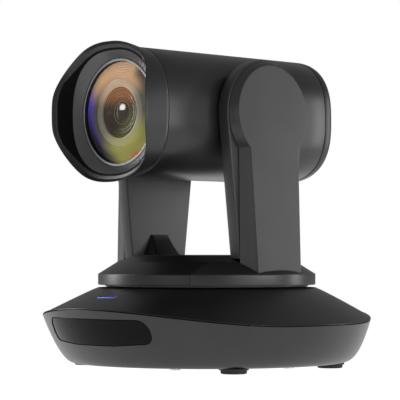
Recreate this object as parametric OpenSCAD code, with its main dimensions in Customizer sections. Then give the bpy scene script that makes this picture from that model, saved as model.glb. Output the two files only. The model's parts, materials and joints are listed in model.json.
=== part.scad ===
// Pan-tilt-zoom camera: a round base, a turntable with a two-armed yoke, and a
// tilting head that holds a zoom lens. +Z is up, the lens looks along -Y, and the
// origin is where the pan axis meets the surface that the feet stand on.

/* [Base] */
// Widest radius of the base
base_r = 85; // [80:1:102]
// Radius of the base's underside
base_floor_r = 70; // [68:1:74]
// Height of the rubber feet
foot_h = 2.6; // [2:0.1:4]
// Height of the parting line at the sides
seam_side_z = 23.4; // [22.5:0.1:27]
// How far the parting line rises at the front
seam_front_rise = 7.6; // [5:0.1:9]
// How far the parting line rises at the back
seam_rear_rise = 5.6; // [5:0.1:8]
// Height of the base cover's flat top
base_top_z = 41; // [41:0.5:50]
// Wall of the base mouldings
base_wall = 2.5; // [2:0.1:3]

/* [Turntable] */
// How far the turntable's rim reaches past the arms
table_edge = 3.5; // [3:0.1:6]
// Gap between the base and the turntable
table_gap = 0.6; // [0.4:0.1:1.5]
// Height of the turntable's upright rim
table_rim_h = 5.6; // [4:0.1:8]
// Rise of the turntable's dome above its rim
table_dome_h = 9.8; // [8:0.1:12]

/* [Yoke] */
// Height of the tilt axis above the turntable's plate
tilt_rise = 87.4; // [84:0.2:105]
// Gap between the head and each arm
arm_gap = 1.1; // [0.6:0.1:2]
// Radius of the round top of an arm
arm_head_r = 27.4; // [25:0.2:33]
// Thickness of an arm's inner shell
arm_shell_t = 6.6; // [6:0.1:8]
// Thickness of an arm's frame at the tilt axis
arm_frame_t = 5.4; // [5.4:0.1:7]

/* [Head] */
// Half width of the barrel
barrel_w = 35; // [33:0.5:42]
// Half height of the barrel
barrel_h = 32.7; // [32:0.1:36]
// Squareness of the barrel's section, where 2 is an ellipse
barrel_n = 2.7; // [2.4:0.1:3.2]
// Distance from the tilt axis to the front of the barrel
barrel_front = 60; // [58:1:70]
// Distance from the tilt axis to the back of the barrel
barrel_rear = 53.5; // [50:0.5:60]
// Depth of the rear cap
cap_depth = 7.5; // [6:0.5:9]
// Radius of the lens opening
lens_r = 25.6; // [21.3:0.1:26]

/* [Hidden] */
fine = 64;          // facets of a round part
slice = 0.01;       // overlap that a cutter needs to pass a face
fit = 0.05;         // radial clearance of a shaft in its hole
play = 0.3;         // clearance between fixed neighbours
shadow = 0.2;       // visible gap at a parting line

// Base
base_steps = 72;    // facets round the base
floor_t = 2;        // thickness of the lower shell's floor
floor_hole_r = base_floor_r - 14; // opening that the bottom plate closes
plate_r = floor_hole_r + 4;
screw_ring_r = (floor_hole_r + plate_r) / 2;
foot_ring_r = base_floor_r - 5.3;
foot_angle = 32.8;
foot_r = 6.5;
foot_flange = [7.4, 0.8]; // radius and thickness of the foot's flange
screw_hole_r = 1.6;
screw_head = [2.7, 1.3]; // radius and height of a base screw's head
bolt_half = 23;     // half the spacing of the mounting holes
bolt_hole_r = 1.65;
tripod_bore_r = 2.6;
tripod_r = 6;
tripod_flange = [8, 1.2];
tripod_h = 6.8;
plate_t = 1.5;
plate_z = foot_h + floor_t;
seam_span = 75;     // half angle over which the parting line rises
seam_gap = 0.1;
slope_power = 1.1;  // hollow of the base cover's slope
side_power = 0.5;   // bulge of the bowl at its sides
front_power = 0.15; // how much flatter its front is
front_wall_span = 32; // half angle of the thick wall behind the window
table_z = base_top_z + table_gap;   // underside of the turntable's plate
// Window and status light
window_z = [13.4, 26.4];
window_half = 36;
window_corner = 5.5;
window_sink = 0.4;  // depth of the window's face behind the bowl's surface
window_t = 2;
window_ledge = 1.5;
window_low_r = front_r(window_z[0]) - window_sink;
window_high_r = front_r(window_z[1]) - window_sink;
front_wall_r = window_low_r - window_t - 1.6;
pipe_r = front_wall_r - 4.8; // distance of the status light from the pan axis
pipe_size = [14, 2.2];
led_board_size = [pipe_size[0] + 6, 7, 1];
led_h = 0.7;
led_post_x = pipe_size[0] / 2 + 1.5;
// Board, bay and sockets
board_z = 9.6;
board_t = 1.6;
board_top = board_z + board_t;
board_r = base_floor_r - 12;
bay_half = 47.5;
bay_z = [8, 24.8];
bay_wall = 1.5;
panel_y = board_r - 3;
panel_t = 1.5;
bay_depth = base_r + 10 - panel_y;
// Pan drive
leg_x = 30;         // the chassis's four legs
leg_r = 4;
chassis_z = 28;
chassis_t = 2;
race_z = 25.5;
race_h = 7;
race_bore_r = 14;
race_out_r = 22;
ball_r = 2.2;
ball_circle_r = 18;
ball_count = 16;
hub_bore_r = 10;
pan_pulley_r = 22;
pan_pulley_z = 32.8;
pan_pulley_h = base_top_z - base_wall - play - pan_pulley_z;
motor_y = -46;
motor_half = 17.5;
motor_pilot_r = 11;
motor_screw = 13;   // half the spacing of the motor's screws
hub_foot_r = 20;    // flange of the hub under the turntable's plate
hub_foot_h = 3.2;
motor_pulley_r = 7;
pulley_flange = 1.4;
flange_t = 0.8;
belt_t = 1.2;
belt_gap = 0.15;
motor_shaft_r = 2.5;
// Turntable and yoke
tilt_z = table_z + tilt_rise;
shell_x = barrel_w + arm_gap;
split_x = shell_x + arm_shell_t;
frame_x = split_x + arm_frame_t;
frame_lean = 3.2;   // slope of the arm's outer face
table_r = outer_x(table_z) + table_edge;
lip_r = table_r - 3.7;
frame_t = 2.6;
frame_top = table_z + frame_t;
rim_z = table_z + 0.8;
rim_top = rim_z + table_rim_h;
dome_top = rim_top + table_dome_h;
dome_mid_r = table_r - 10.2; // edge between the dome's steep and flat slopes
plateau_r = table_r - 17;
cover_t = 2;
side_x = barrel_w - 1;
neck_r = table_r;   // the base cover is flat up to the turntable's rim
arm_wall = 1.6;
stem_foot_half = 19;
stem_neck_half = 19.8;
stem_slope = 0.34;  // how much a stem narrows for each step outwards
arm_foot_z = dome_top - 1.8;
arm_screw_x = split_x + 2;
arm_screw_y = 9;
cover_post_r = 3;
// Tilt drive
shaft_flange_in = 6.2; // from the barrel's side to the shaft's inner flange
shaft_boss_r = 7;
shaft_r = 5;
tilt_pulley_x = shell_x + 2.2;
tilt_pulley_w = 3.2;
tilt_pulley_r = 16;
tilt_small_r = 5;
tilt_motor_z = tilt_z - 56;
tilt_motor_r = 12.5;
bearing_x = tilt_pulley_x + tilt_pulley_w + 0.2;
bearing_r = 9;
bearing_w = 3.8;
shaft_flange = [12, 2]; // radius and thickness of the flange inside the barrel
shaft_bore_r = 3;   // passage of the head's cable
tilt_motor_shaft_r = 1.5;
tilt_motor_t = 5;
// Head
barrel_wall = 2.2;
cap_round = 4.6;    // rounding of the rear cap's edge
head_steps = 64;
rim_w = barrel_w + 0.4;
rim_h = barrel_h + 2.4;
rim_n = 2.35;
rim_back = 9;       // from the barrel's front to the rim at its top and foot
rim_lobe = 6.7;     // how much further the rim reaches at its sides
lobe_z = [6, 31];
lip_t = [1.9, 1.3];
lip_slope = 1.9;
bezel_w = barrel_w - 4.6;
bezel_h = barrel_h - 1.7;
bezel_n = 2.4;
ring_front = barrel_front + 2;
ring_wall = 1.4;    // thickness of the ring round the front glass
ring_depth = 5.1;   // how far the lens ring reaches behind the glass's edge
glass_edge = barrel_front + 0.3;
glass_sag = 2.2;
glass_t = 1.6;
baffle_back = barrel_front - 3.3;
pupil_r = 12.8;
tube_r = 23;
tube_wall = 1.6;
tube_back = -20;
rod_r = 1;
rod_x = 17;
zoom_y = 34;
focus_y = -5;
group_t = 6;

// ---------- shared shapes ----------
// Distance of an arm's outer face from the middle, at a height
function outer_x(z) = frame_x + (tilt_z - z) * tan(frame_lean);

function power(v, e) = sign(v) * pow(abs(v), e);
function squircle(w, h, n, steps = head_steps) =
    [for (i = [0:steps - 1]) let (a = 360 * i / steps)
        [w * power(cos(a), 2 / n), h * power(sin(a), 2 / n)]];
function smooth(t) = let (c = max(0, min(1, t))) c * c * (3 - 2 * c);
// A section of the head as a ring of points, set back to distance y in front of the axis
function head_ring(w, h, n, y) = [for (p = squircle(w, h, n)) [p[0], -y, tilt_z + p[1]]];

// A closed solid swept through rings of points that each run anticlockwise about the
// sweep's axis. The rings go along the axis outside and back inside, and the last joins
// the first.
module ring_solid(rings) {
    m = len(rings);
    n = len(rings[0]);
    points = [for (ring = rings) each ring];
    faces = [for (i = [0:m - 1], j = [0:n - 1])
        let (i2 = (i + 1) % m, j2 = (j + 1) % n)
        each [[i * n + j, i2 * n + j2, i * n + j2], [i * n + j, i2 * n + j, i2 * n + j2]]];
    polyhedron(points = points, faces = faces, convexity = 8);
}

// A solid with flat ends, swept through rings of points that each run anticlockwise
module loft(rings) {
    m = len(rings);
    n = len(rings[0]);
    points = [for (ring = rings) each ring];
    sides = [for (i = [0:m - 2], j = [0:n - 1]) let (j2 = (j + 1) % n)
        each [[i * n + j, (i + 1) * n + j2, i * n + j2],
            [i * n + j, (i + 1) * n + j, (i + 1) * n + j2]]];
    first = [for (j = [0:n - 1]) j];
    last = [for (j = [n - 1:-1:0]) (m - 1) * n + j];
    polyhedron(points = points, faces = concat(sides, [first, last]), convexity = 6);
}

// Round tube
module tube(r, bore, h) {
    difference() {
        cylinder(r = r, h = h, $fn = fine);
        translate([0, 0, -1]) cylinder(r = bore, h = h + 2, $fn = fine);
    }
}

// Turns a shape made along +Z so that it runs along +X from x, on the tilt axis
module on_tilt_axis(x, z = tilt_z) {
    translate([x, 0, z]) rotate([0, 90, 0]) children();
}

// Turns a shape made along +Z so that it looks forward from distance y in front of the axis
module facing_front(y) {
    translate([0, -y, tilt_z]) rotate([90, 0, 0]) children();
}

// Box that is centred on a place, standing on its lower face
module centred(size, at) {
    translate([at[0] - size[0] / 2, at[1] - size[1] / 2, at[2]]) cube(size);
}

// Belt round two pulleys
module belt_loop(r1, r2, distance, h) {
    linear_extrude(h) difference() {
        hull() {
            circle(r1 + belt_gap + belt_t, $fn = fine);
            translate([distance, 0]) circle(r2 + belt_gap + belt_t, $fn = fine);
        }
        hull() {
            circle(r1 + belt_gap, $fn = fine);
            translate([distance, 0]) circle(r2 + belt_gap, $fn = fine);
        }
    }
}

// Pulley with two flanges
module pulley(r, bore, h) {
    difference() {
        union() {
            cylinder(r = r, h = h, $fn = fine);
            cylinder(r = r + pulley_flange, h = flange_t, $fn = fine);
            translate([0, 0, h - flange_t])
                cylinder(r = r + pulley_flange, h = flange_t, $fn = fine);
        }
        translate([0, 0, -1]) cylinder(r = bore, h = h + 2, $fn = fine);
    }
}

// ---------- base ----------
// Angle from the front, for an angle measured from +X
function from_front(a) = acos(max(-1, min(1, -sin(a))));
function bell(angle) = angle < seam_span ? (1 + cos(180 * angle / seam_span)) / 2 : 0;
function seam_z(a) = seam_side_z + seam_front_rise * bell(from_front(a))
    + seam_rear_rise * bell(180 - from_front(a));
function bowl_power(a) = side_power - front_power * sin(a);
// Radius of the bowl's front at a height
function front_r(z) = base_floor_r + (base_r - base_floor_r)
    * pow((z - foot_h) / (seam_side_z + seam_front_rise - foot_h), side_power + front_power);
function bowl_r(a, t) = base_floor_r + (base_r - base_floor_r) * pow(t, bowl_power(a));
function bowl_z(a, t) = foot_h + (seam_z(a) - foot_h) * t;
function bowl_ring(t, inset = 0) =
    [for (i = [0:base_steps - 1]) let (a = 360 * i / base_steps,
        r = bowl_r(a, t) - inset,
        thick = inset > 0 && from_front(a) < front_wall_span,
        rr = thick ? min(r, front_wall_r) : r)
        [rr * cos(a), rr * sin(a), bowl_z(a, t)]];
function flat_ring(r, z) =
    [for (i = [0:base_steps - 1]) let (a = 360 * i / base_steps) [r * cos(a), r * sin(a), z]];
// Top cover's outside, where u runs from 0 at the neck to 1 at the parting line
function slope_ring(u, drop = 0, inset = 0) =
    [for (i = [0:base_steps - 1]) let (a = 360 * i / base_steps,
        r = neck_r - inset + (base_r - neck_r) * u,
        fall = base_top_z - drop - seam_z(a) - seam_gap)
        [r * cos(a), r * sin(a), base_top_z - drop - fall * pow(u, slope_power)]];

// The bowl without its hollow
module bowl_solid() {
    loft([for (t = [0, 0.03, 0.1, 0.2, 0.35, 0.55, 0.78, 1]) bowl_ring(t)]);
}

// Front view of the window
module window_outline(grow = 0) {
    half = window_half + grow;
    low = window_z[0] - grow;
    high = window_z[1] + grow;
    corner = window_corner + grow;
    hull() for (sx = [-1, 1]) {
        translate([sx * (half - corner), high - corner]) circle(corner, $fn = 32);
        translate([sx * (half - corner), low + corner + 1.6]) circle(corner, $fn = 32);
        translate([sx * half / 3, low + corner]) circle(corner, $fn = 32);
    }
}

// Window's outline as a block that runs out through the front wall
module front_prism(grow = 0) {
    translate([0, -front_wall_r + 6, 0]) rotate([90, 0, 0])
        linear_extrude(30) window_outline(grow);
}

foot_places = [for (sx = [-1, 1], sy = [-1, 1])
    foot_ring_r * [sx * cos(foot_angle), sy * sin(foot_angle)]];
screw_places = [for (i = [0:5]) screw_ring_r * [cos(60 * i), sin(60 * i)]];

// The bowl: an outer wall, a floor ring, and cuts for the window and the rear bay
module lower_shell() {
    color("#2b2b2d") difference() {
        ring_solid([
            for (t = [0, 0.03, 0.1, 0.2, 0.35, 0.55, 0.78, 1]) bowl_ring(t),
            for (t = [1, 0.78, 0.55, 0.35, 0.2]) bowl_ring(t, base_wall),
            flat_ring(base_floor_r - 1, foot_h + floor_t),
            flat_ring(floor_hole_r, foot_h + floor_t),
            flat_ring(floor_hole_r, foot_h)]);
        difference() {
            front_prism(play);
            window_band(window_t + play, -20);
        }
        front_prism(-window_ledge);
        centred([2 * bay_half + 2 * play, bay_depth, bay_z[1] - bay_z[0] + 2 * play],
            [0, panel_y + bay_depth / 2 - 1, bay_z[0] - play]);
        for (p = screw_places)
            translate([p[0], p[1], 0]) cylinder(r = screw_hole_r, h = 8, $fn = 24);
    }
}

// The cover that slopes from the turntable down to the parting line
module base_top_cover() {
    color("#242426") difference() {
        ring_solid([
            for (u = [1, 0.8, 0.6, 0.4, 0.2, 0]) slope_ring(u),
            flat_ring(race_out_r + 1, base_top_z),
            flat_ring(race_out_r + 1, base_top_z - base_wall),
            for (u = [0, 0.25, 0.5, 0.75, 1]) slope_ring(u, base_wall, base_wall)]);
        translate([0, 0, 20]) light_pipe_bar(shadow, 30);
    }
    color("#242426") for (x = [-led_post_x, led_post_x])
        translate([x, -pipe_r, led_top]) cylinder(r = 1.2, h = 3, $fn = 24);
}

// Upright bar with round ends, at the status light's place
module light_pipe_bar(grow, h) {
    end = pipe_size[1] / 2;
    hull() for (sx = [-1, 1])
        translate([sx * (pipe_size[0] / 2 - end), -pipe_r, 0])
            cylinder(r = end + grow, h = h, $fn = 24);
}

// Height of the cover's outside at the front
function cover_z(r) = base_top_z - (base_top_z - seam_side_z - seam_front_rise)
    * pow((r - neck_r) / (base_r - neck_r), slope_power);
// The pipe reaches down to a board that clears the sloping cover
light_z = cover_z(pipe_r);
pipe_h = base_wall + light_z - cover_z(pipe_r + led_board_size[1] / 2) + shadow;
led_top = light_z - pipe_h - led_h;

// Clear bar that carries the status light through the cover
module status_light_pipe() {
    color("#3a55ff") translate([0, 0, light_z - pipe_h]) light_pipe_bar(0, pipe_h);
}

// Small board under the light pipe, with its light
module led_board() {
    color("darkgreen") centred(led_board_size, [0, -pipe_r, led_top - led_board_size[2]]);
    color("white") centred([3, 3, led_h], [0, -pipe_r, led_top]);
}

// Cone-shaped band whose outside lies the given depth behind the window's face
module window_band(depth, bore) {
    slope = (window_high_r - window_low_r) / (window_z[1] - window_z[0]);
    low = [window_low_r - 2 * slope - depth, window_z[0] - 2];
    high = [window_high_r + 2 * slope - depth, window_z[1] + 2];
    rotate_extrude($fn = 128) polygon([low, high,
        [bore < 0 ? high[0] + bore : bore, high[1]], [bore < 0 ? low[0] + bore : bore, low[1]]]);
}

// Curved dark panel that the remote control's receiver looks through
module ir_window() {
    color("#101012") intersection() {
        window_band(0, -window_t);
        front_prism(0);
    }
}

// Steel plate that closes the base, with its mounting holes
module bottom_plate() {
    color("#707478") translate([0, 0, plate_z]) difference() {
        cylinder(r = plate_r, h = plate_t, $fn = 96);
        translate([0, 0, -1]) cylinder(r = tripod_r + fit, h = 4, $fn = fine);
        for (x = [-bolt_half, bolt_half], y = [-bolt_half, bolt_half])
            translate([x, y, -1]) cylinder(r = bolt_hole_r, h = 4, $fn = 32);
        for (p = screw_places)
            translate([p[0], p[1], -1]) cylinder(r = screw_hole_r, h = 4, $fn = 24);
        translate([dial_place[0], dial_place[1], -1]) cylinder(r = dial_r + 1, h = 4, $fn = 32);
    }
}

// Threaded brass bush for a stand
module tripod_insert() {
    color("#b8963e") difference() {
        union() {
            translate([0, 0, plate_z - tripod_flange[1]])
                cylinder(r = tripod_flange[0], h = tripod_flange[1], $fn = fine);
            translate([0, 0, plate_z - slice])
                cylinder(r = tripod_r, h = tripod_h + slice, $fn = fine);
        }
        translate([0, 0, plate_z - 2]) cylinder(r = tripod_bore_r, h = 10, $fn = fine);
    }
}

// Four feet with a flange under the bowl's floor
module rubber_feet() {
    color("#151515") for (p = foot_places) translate([p[0], p[1], 0]) {
        cylinder(r = foot_r, h = foot_h, $fn = fine);
        translate([0, 0, foot_h - foot_flange[1]])
            cylinder(r = foot_flange[0], h = foot_flange[1], $fn = fine);
    }
}

// Screws that hold the bottom plate
module base_screws() {
    color("silver") for (p = screw_places) translate([p[0], p[1], 0]) difference() {
        union() {
            translate([0, 0, foot_h - screw_head[1]])
                cylinder(r = screw_head[0], h = screw_head[1], $fn = 32);
            translate([0, 0, foot_h - slice]) cylinder(r = 1.4, h = 5.6, $fn = 32);
        }
        translate([0, 0, foot_h - 1.4]) cylinder(r = 1, h = 0.9, $fn = 6);
    }
}

// Cast deck on four legs that carries the pan bearing and motor
module base_chassis() {
    color("#8a8d90") difference() {
        union() {
            translate([0, 0, chassis_z]) cylinder(r = 46, h = chassis_t, $fn = 96);
            centred([44, 44, chassis_t], [0, motor_y, chassis_z]);
            translate([0, 0, race_z - 0.5])
                cylinder(r = race_out_r + 3, h = chassis_z + chassis_t - race_z + 0.5, $fn = fine);
            for (x = [-leg_x, leg_x], y = [-leg_x, leg_x]) translate([x, y, plate_z + plate_t]) {
                cylinder(r = leg_r, h = chassis_z - plate_z - plate_t + slice, $fn = 32);
                cylinder(r = leg_r + 1.5, h = board_z - plate_z - plate_t, $fn = 32);
            }
        }
        translate([0, 0, 20]) cylinder(r = race_out_r + fit, h = 20, $fn = fine);
        translate([0, motor_y, 20]) cylinder(r = motor_pilot_r + 0.2, h = 20, $fn = fine);
        for (x = [-motor_screw, motor_screw], y = [-motor_screw, motor_screw])
            translate([x, motor_y + y, 20]) cylinder(r = screw_hole_r, h = 20, $fn = 24);
    }
}

// Circuit board with its chips and capacitors
module main_board() {
    color("#1f5a34") difference() {
        translate([0, 0, board_z]) intersection() {
            cylinder(r = board_r, h = board_t, $fn = 96);
            translate([-60, -40, -1]) cube([120, panel_y - 1.4 + 40, 4]);
        }
        translate([0, 0, board_z - 1]) cylinder(r = 9, h = 4, $fn = fine);
        for (x = [-leg_x, leg_x], y = [-leg_x, leg_x])
            translate([x, y, board_z - 1]) cylinder(r = leg_r + play, h = 4, $fn = 32);
    }
    color("#202020") {
        centred([16, 16, 1.6], [-32, 6, board_top]);
        centred([11, 11, 1.4], [33, 4, board_top]);
        centred([12, 5, 2.4], [0, 22, board_top]);
        for (i = [0:3]) translate([16 + 8 * i, -18, board_top]) cylinder(r = 3, h = 6, $fn = 32);
    }
}

// Box that lines the recess for the sockets
module connector_bay() {
    color("#1c1c1e") difference() {
        intersection() {
            centred([2 * bay_half, bay_depth, bay_z[1] - bay_z[0]],
                [0, panel_y + bay_depth / 2, bay_z[0]]);
            bowl_solid();
        }
        centred([2 * (bay_half - bay_wall), bay_depth + 2, bay_z[1] - bay_z[0] - 2 * bay_wall],
            [0, panel_y + bay_depth / 2, bay_z[0] + bay_wall]);
    }
}

// Sockets: [place along X, width, height, depth behind the panel]
socket_dc = [39.2, 9, 10.8, 12];
socket_audio = [29.6, 7.4, 6, 11];
socket_usb = [18.4, 13, 6.4, 13];
socket_hdmi = [2.6, 15.2, 6.4, 11];
socket_lan = [-14.6, 16, 11.4, 16];
socket_sdi = [-29.6, 11, 11, 12];
socket_serial = [-40.8, 9.4, 9.8, 10];
sockets = [socket_dc, socket_audio, socket_usb, socket_hdmi, socket_lan, socket_sdi,
    socket_serial];
socket_face = panel_y + panel_t + 0.6;

// Body of a socket, which stands on the board and reaches the panel
module socket_block(s, grow = 0) {
    translate([s[0] - s[1] / 2 - grow, socket_face - s[3] - 1, board_top - grow])
        cube([s[1] + 2 * grow, s[3] + 1, s[2] + 2 * grow]);
}

// Rectangular opening of a socket
module socket_hole(s, width, height, depth, lift) {
    translate([s[0] - width / 2, socket_face - depth, board_top + lift])
        cube([width, depth + 1, height]);
}

// Turns a shape made along +Z so that it points out of the back, at a socket
module at_socket(s, y, lift) {
    translate([s[0], y, board_top + lift]) rotate([-90, 0, 0]) children();
}

// Plate with an opening for each socket
module connector_panel() {
    inner = 2 * (bay_half - bay_wall) - 2 * shadow;
    high = bay_z[1] - bay_z[0] - 2 * bay_wall - 2 * shadow;
    color("#3a3b3d") difference() {
        centred([inner, panel_t, high], [0, panel_y + panel_t / 2, bay_z[0] + bay_wall + shadow]);
        for (s = sockets) translate([0, 8, 0]) socket_block(s, shadow);
    }
}

// Power socket with its centre pin
module dc_jack() {
    color("#111111") difference() {
        socket_block(socket_dc);
        at_socket(socket_dc, socket_face - 9.5, 5.6) cylinder(r = 3.2, h = 12, $fn = 32);
    }
    color("silver") at_socket(socket_dc, socket_face - 9.5 - slice, 5.6)
        cylinder(r = 1, h = 8.5, $fn = 24);
}

// Round audio socket with a collar
module audio_jack() {
    color("#1a1a1a") difference() {
        union() {
            socket_block(socket_audio);
            at_socket(socket_audio, socket_face - slice, 3) cylinder(r = 2.9, h = 1.6, $fn = 32);
        }
        at_socket(socket_audio, socket_face - 10, 3) cylinder(r = 1.8, h = 15, $fn = 32);
    }
}

// Wide data socket with a tongue
module usb_port() {
    color("silver") difference() {
        socket_block(socket_usb);
        socket_hole(socket_usb, 12, 5.4, 9, 0.5);
    }
    color("#2850c8") socket_hole_tongue(socket_usb, 10.4, 1.9, 8, 2.7);
}

// Contact tongue inside a socket
module socket_hole_tongue(s, width, height, depth, lift) {
    translate([s[0] - width / 2, socket_face - depth - 1 - slice, board_top + lift])
        cube([width, depth, height]);
}

// Flat video socket with a tongue
module hdmi_port() {
    color("silver") difference() {
        socket_block(socket_hdmi);
        socket_hole(socket_hdmi, 14, 5.2, 8, 0.6);
    }
    color("#181818") socket_hole_tongue(socket_hdmi, 11.6, 1.4, 7, 2.8);
}

// Network socket with a slot for the plug's latch
module lan_port() {
    color("#b9bcc0") difference() {
        socket_block(socket_lan);
        socket_hole(socket_lan, 11.8, 8, 12, 1.7);
        socket_hole(socket_lan, 6, 9.4, 12, 0.9);
    }
}

// Coaxial video socket with a bayonet barrel
module sdi_connector() {
    color("#c8c9cc") difference() {
        union() {
            socket_block(socket_sdi);
            at_socket(socket_sdi, socket_face - slice, 5.5) cylinder(r = 4.8, h = 9, $fn = 48);
            translate([socket_sdi[0] - 5.8, socket_face + 5, board_top + 4.7]) cube([11.6, 1.6, 1.6]);
        }
        at_socket(socket_sdi, socket_face - 6, 5.5) cylinder(r = 3.6, h = 20, $fn = 48);
    }
    color("#d0b060") at_socket(socket_sdi, socket_face - 6 - slice, 5.5)
        cylinder(r = 0.7, h = 12, $fn = 24);
}

// Round control socket with six contacts
module serial_socket() {
    color("#202022") difference() {
        socket_block(socket_serial);
        at_socket(socket_serial, socket_face - 6, 4.9) cylinder(r = 4.2, h = 12, $fn = 48);
    }
    color("#0c0c0c") at_socket(socket_serial, socket_face - 6 - slice, 4.9) {
        cylinder(r = 1.6, h = 5, $fn = 24);
        for (i = [0:5]) rotate(60 * i) translate([2.9, 0, 0]) cylinder(r = 0.45, h = 4.4, $fn = 16);
    }
}

// Rotary selector that is set with a screwdriver through the bottom plate
dial_place = [-40, 8];
dial_r = 3.4;

// Body of the rotary selector
module selector_switch() {
    color("#2a2a2c") difference() {
        centred([10, 10, board_z - plate_z - plate_t - 0.2],
            [dial_place[0], dial_place[1], plate_z + plate_t + 0.1]);
        translate([dial_place[0], dial_place[1], plate_z])
            cylinder(r = dial_r + fit, h = board_z - plate_z - 1, $fn = fine);
    }
}

// The dial, with a screwdriver slot and a pointer
module selector_dial() {
    color("white") translate([dial_place[0], dial_place[1], plate_z + 0.3]) difference() {
        cylinder(r = dial_r, h = board_z - plate_z - 1.5, $fn = fine);
        centred([4.6, 1, 1], [0, 0, -0.2]);
        centred([1.8, 1.8, 1], [1.7, 0, -0.2]);
    }
}

// ---------- pan drive ----------
module pan_motor() {
    color("#3c3d40") difference() {
        union() {
            centred([2 * motor_half, 2 * motor_half, chassis_z - board_top - 1.3],
                [0, motor_y, board_top + 1.3]);
            translate([0, motor_y, chassis_z - slice])
                cylinder(r = motor_pilot_r, h = 1.8, $fn = fine);
        }
        translate([0, motor_y, chassis_z - 8]) cylinder(r = motor_shaft_r + fit, h = 20, $fn = 32);
        for (x = [-motor_half, motor_half], y = [-motor_half, motor_half])
            translate([x, motor_y + y, 0]) rotate(45) centred([4, 4, 60], [0, 0, 0]);
    }
}

// The motor's shaft and its small pulley
module pan_motor_pulley() {
    color("#c9cacd") translate([0, motor_y, 0]) {
        translate([0, 0, pan_pulley_z])
            pulley(motor_pulley_r, motor_shaft_r - slice, pan_pulley_h);
        translate([0, 0, chassis_z - 7])
            cylinder(r = motor_shaft_r, h = pan_pulley_z + pan_pulley_h - chassis_z + 7, $fn = 32);
    }
}

// Belt from the motor to the hub
module pan_belt() {
    color("#161616") translate([0, 0, pan_pulley_z + flange_t + 0.2]) rotate(-90)
        belt_loop(pan_pulley_r, motor_pulley_r, -motor_y, pan_pulley_h - 2 * flange_t - 0.4);
}

// Bearing ring with a groove for the balls
module race(r, bore) {
    translate([0, 0, race_z]) difference() {
        tube(r, bore, race_h);
        translate([0, 0, race_h / 2]) rotate_extrude($fn = fine)
            translate([ball_circle_r, 0]) circle(ball_r + 0.1, $fn = 32);
    }
}

// Outer ring, held in the chassis
module pan_bearing_outer() {
    color("silver") race(race_out_r, ball_circle_r + 1.3);
}

// Inner ring, which turns with the hub
module pan_bearing_inner() {
    color("silver") race(ball_circle_r - 1.3, race_bore_r);
}

// Balls of the pan bearing
module pan_bearing_balls() {
    color("#e0e0e0") for (i = [0:ball_count - 1]) rotate(360 * i / ball_count)
        translate([ball_circle_r, 0, race_z + race_h / 2]) sphere(r = ball_r, $fn = 32);
}

// Hollow hub that carries the turntable
module pan_hub() {
    color("#9a9da0") difference() {
        union() {
            translate([0, 0, race_z - 2.5])
                cylinder(r = race_bore_r - 0.02, h = table_z - race_z + 2.5, $fn = fine);
            translate([0, 0, table_z - hub_foot_h]) cylinder(r = hub_foot_r, h = hub_foot_h, $fn = fine);
        }
        translate([0, 0, 10]) cylinder(r = hub_bore_r, h = 50, $fn = fine);
    }
}

// Ring that keeps the hub in its bearing
module hub_retaining_ring() {
    color("#55575a") translate([0, 0, race_z - 1.7]) tube(race_bore_r + 2.4, race_bore_r, 1.2);
}

// Large pulley of the pan drive
module pan_pulley() {
    color("#c9cacd") translate([0, 0, pan_pulley_z])
        pulley(pan_pulley_r, race_bore_r,
            min(pan_pulley_h, table_z - hub_foot_h - pan_pulley_z));
}

// ---------- turntable ----------
module turntable_frame() {
    color("#2f3032") difference() {
        translate([0, 0, table_z]) cylinder(r = lip_r, h = frame_t, $fn = 128);
        translate([0, 0, table_z - 1]) cylinder(r = hub_bore_r, h = 10, $fn = fine);
        for (side = [-1, 1], y = [-arm_screw_y, arm_screw_y])
            translate([side * arm_screw_x, y, table_z - 1])
                cylinder(r = screw_hole_r, h = 10, $fn = 24);
    }
}

// Half section of the turntable's cover, set in by a wall
module dome_profile(t) {
    polygon([[0, rim_z], [table_r - t, rim_z], [table_r - t, rim_top - 0.3 * t],
        [dome_mid_r - 0.7 * t, rim_top + 0.65 * table_dome_h - 0.8 * t],
        [plateau_r, dome_top - 0.25 - t], [plateau_r - 5, dome_top - t], [0, dome_top - t]]);
}

// Hollow dome with a pocket at each arm
module dome_shell() {
    difference() {
        rotate_extrude($fn = 128) dome_profile(0);
        translate([0, 0, -slice]) rotate_extrude($fn = 128) dome_profile(cover_t);
        for (side = [-1, 1]) arm_pocket(side);
    }
}

// Space that an arm and its foot take out of the turntable's covers
module arm_pocket(side) {
    half = stem_foot_half + play;
    out = outer_x(table_z) + play;
    draft = stem_slope * (out - split_x);
    mirror([side < 0 ? 1 : 0, 0, 0]) translate([0, 0, frame_top - 1]) linear_extrude(40)
        polygon([[shell_x - play, -half], [split_x, -half], [out, -half + draft],
            [out, half - draft], [split_x, half], [shell_x - play, half]]);
}

// Post that stands on the turntable's plate and carries the covers
module cover_post(x, y) {
    intersection() {
        translate([x, y, frame_top]) cylinder(r = cover_post_r, h = 30, $fn = 32);
        rotate_extrude($fn = 128) dome_profile(cover_t / 2);
    }
}

// Middle cover, with its fairings and posts
module turntable_cover() {
    color("#161617") intersection() {
        dome_shell();
        centred([2 * side_x, 140, 100], [0, 0, 0]);
    }
    color("#161617") for (side = [-1, 1]) {
        difference() {
            fairing(side);
            centred([10, 40, 2], [side * (side_x + 5), 0, dome_top - 2 + shadow / 2]);
        }
        for (y = [-1, 1]) cover_post(side * 20, y * (plateau_r - 7.5));
    }
}

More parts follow.
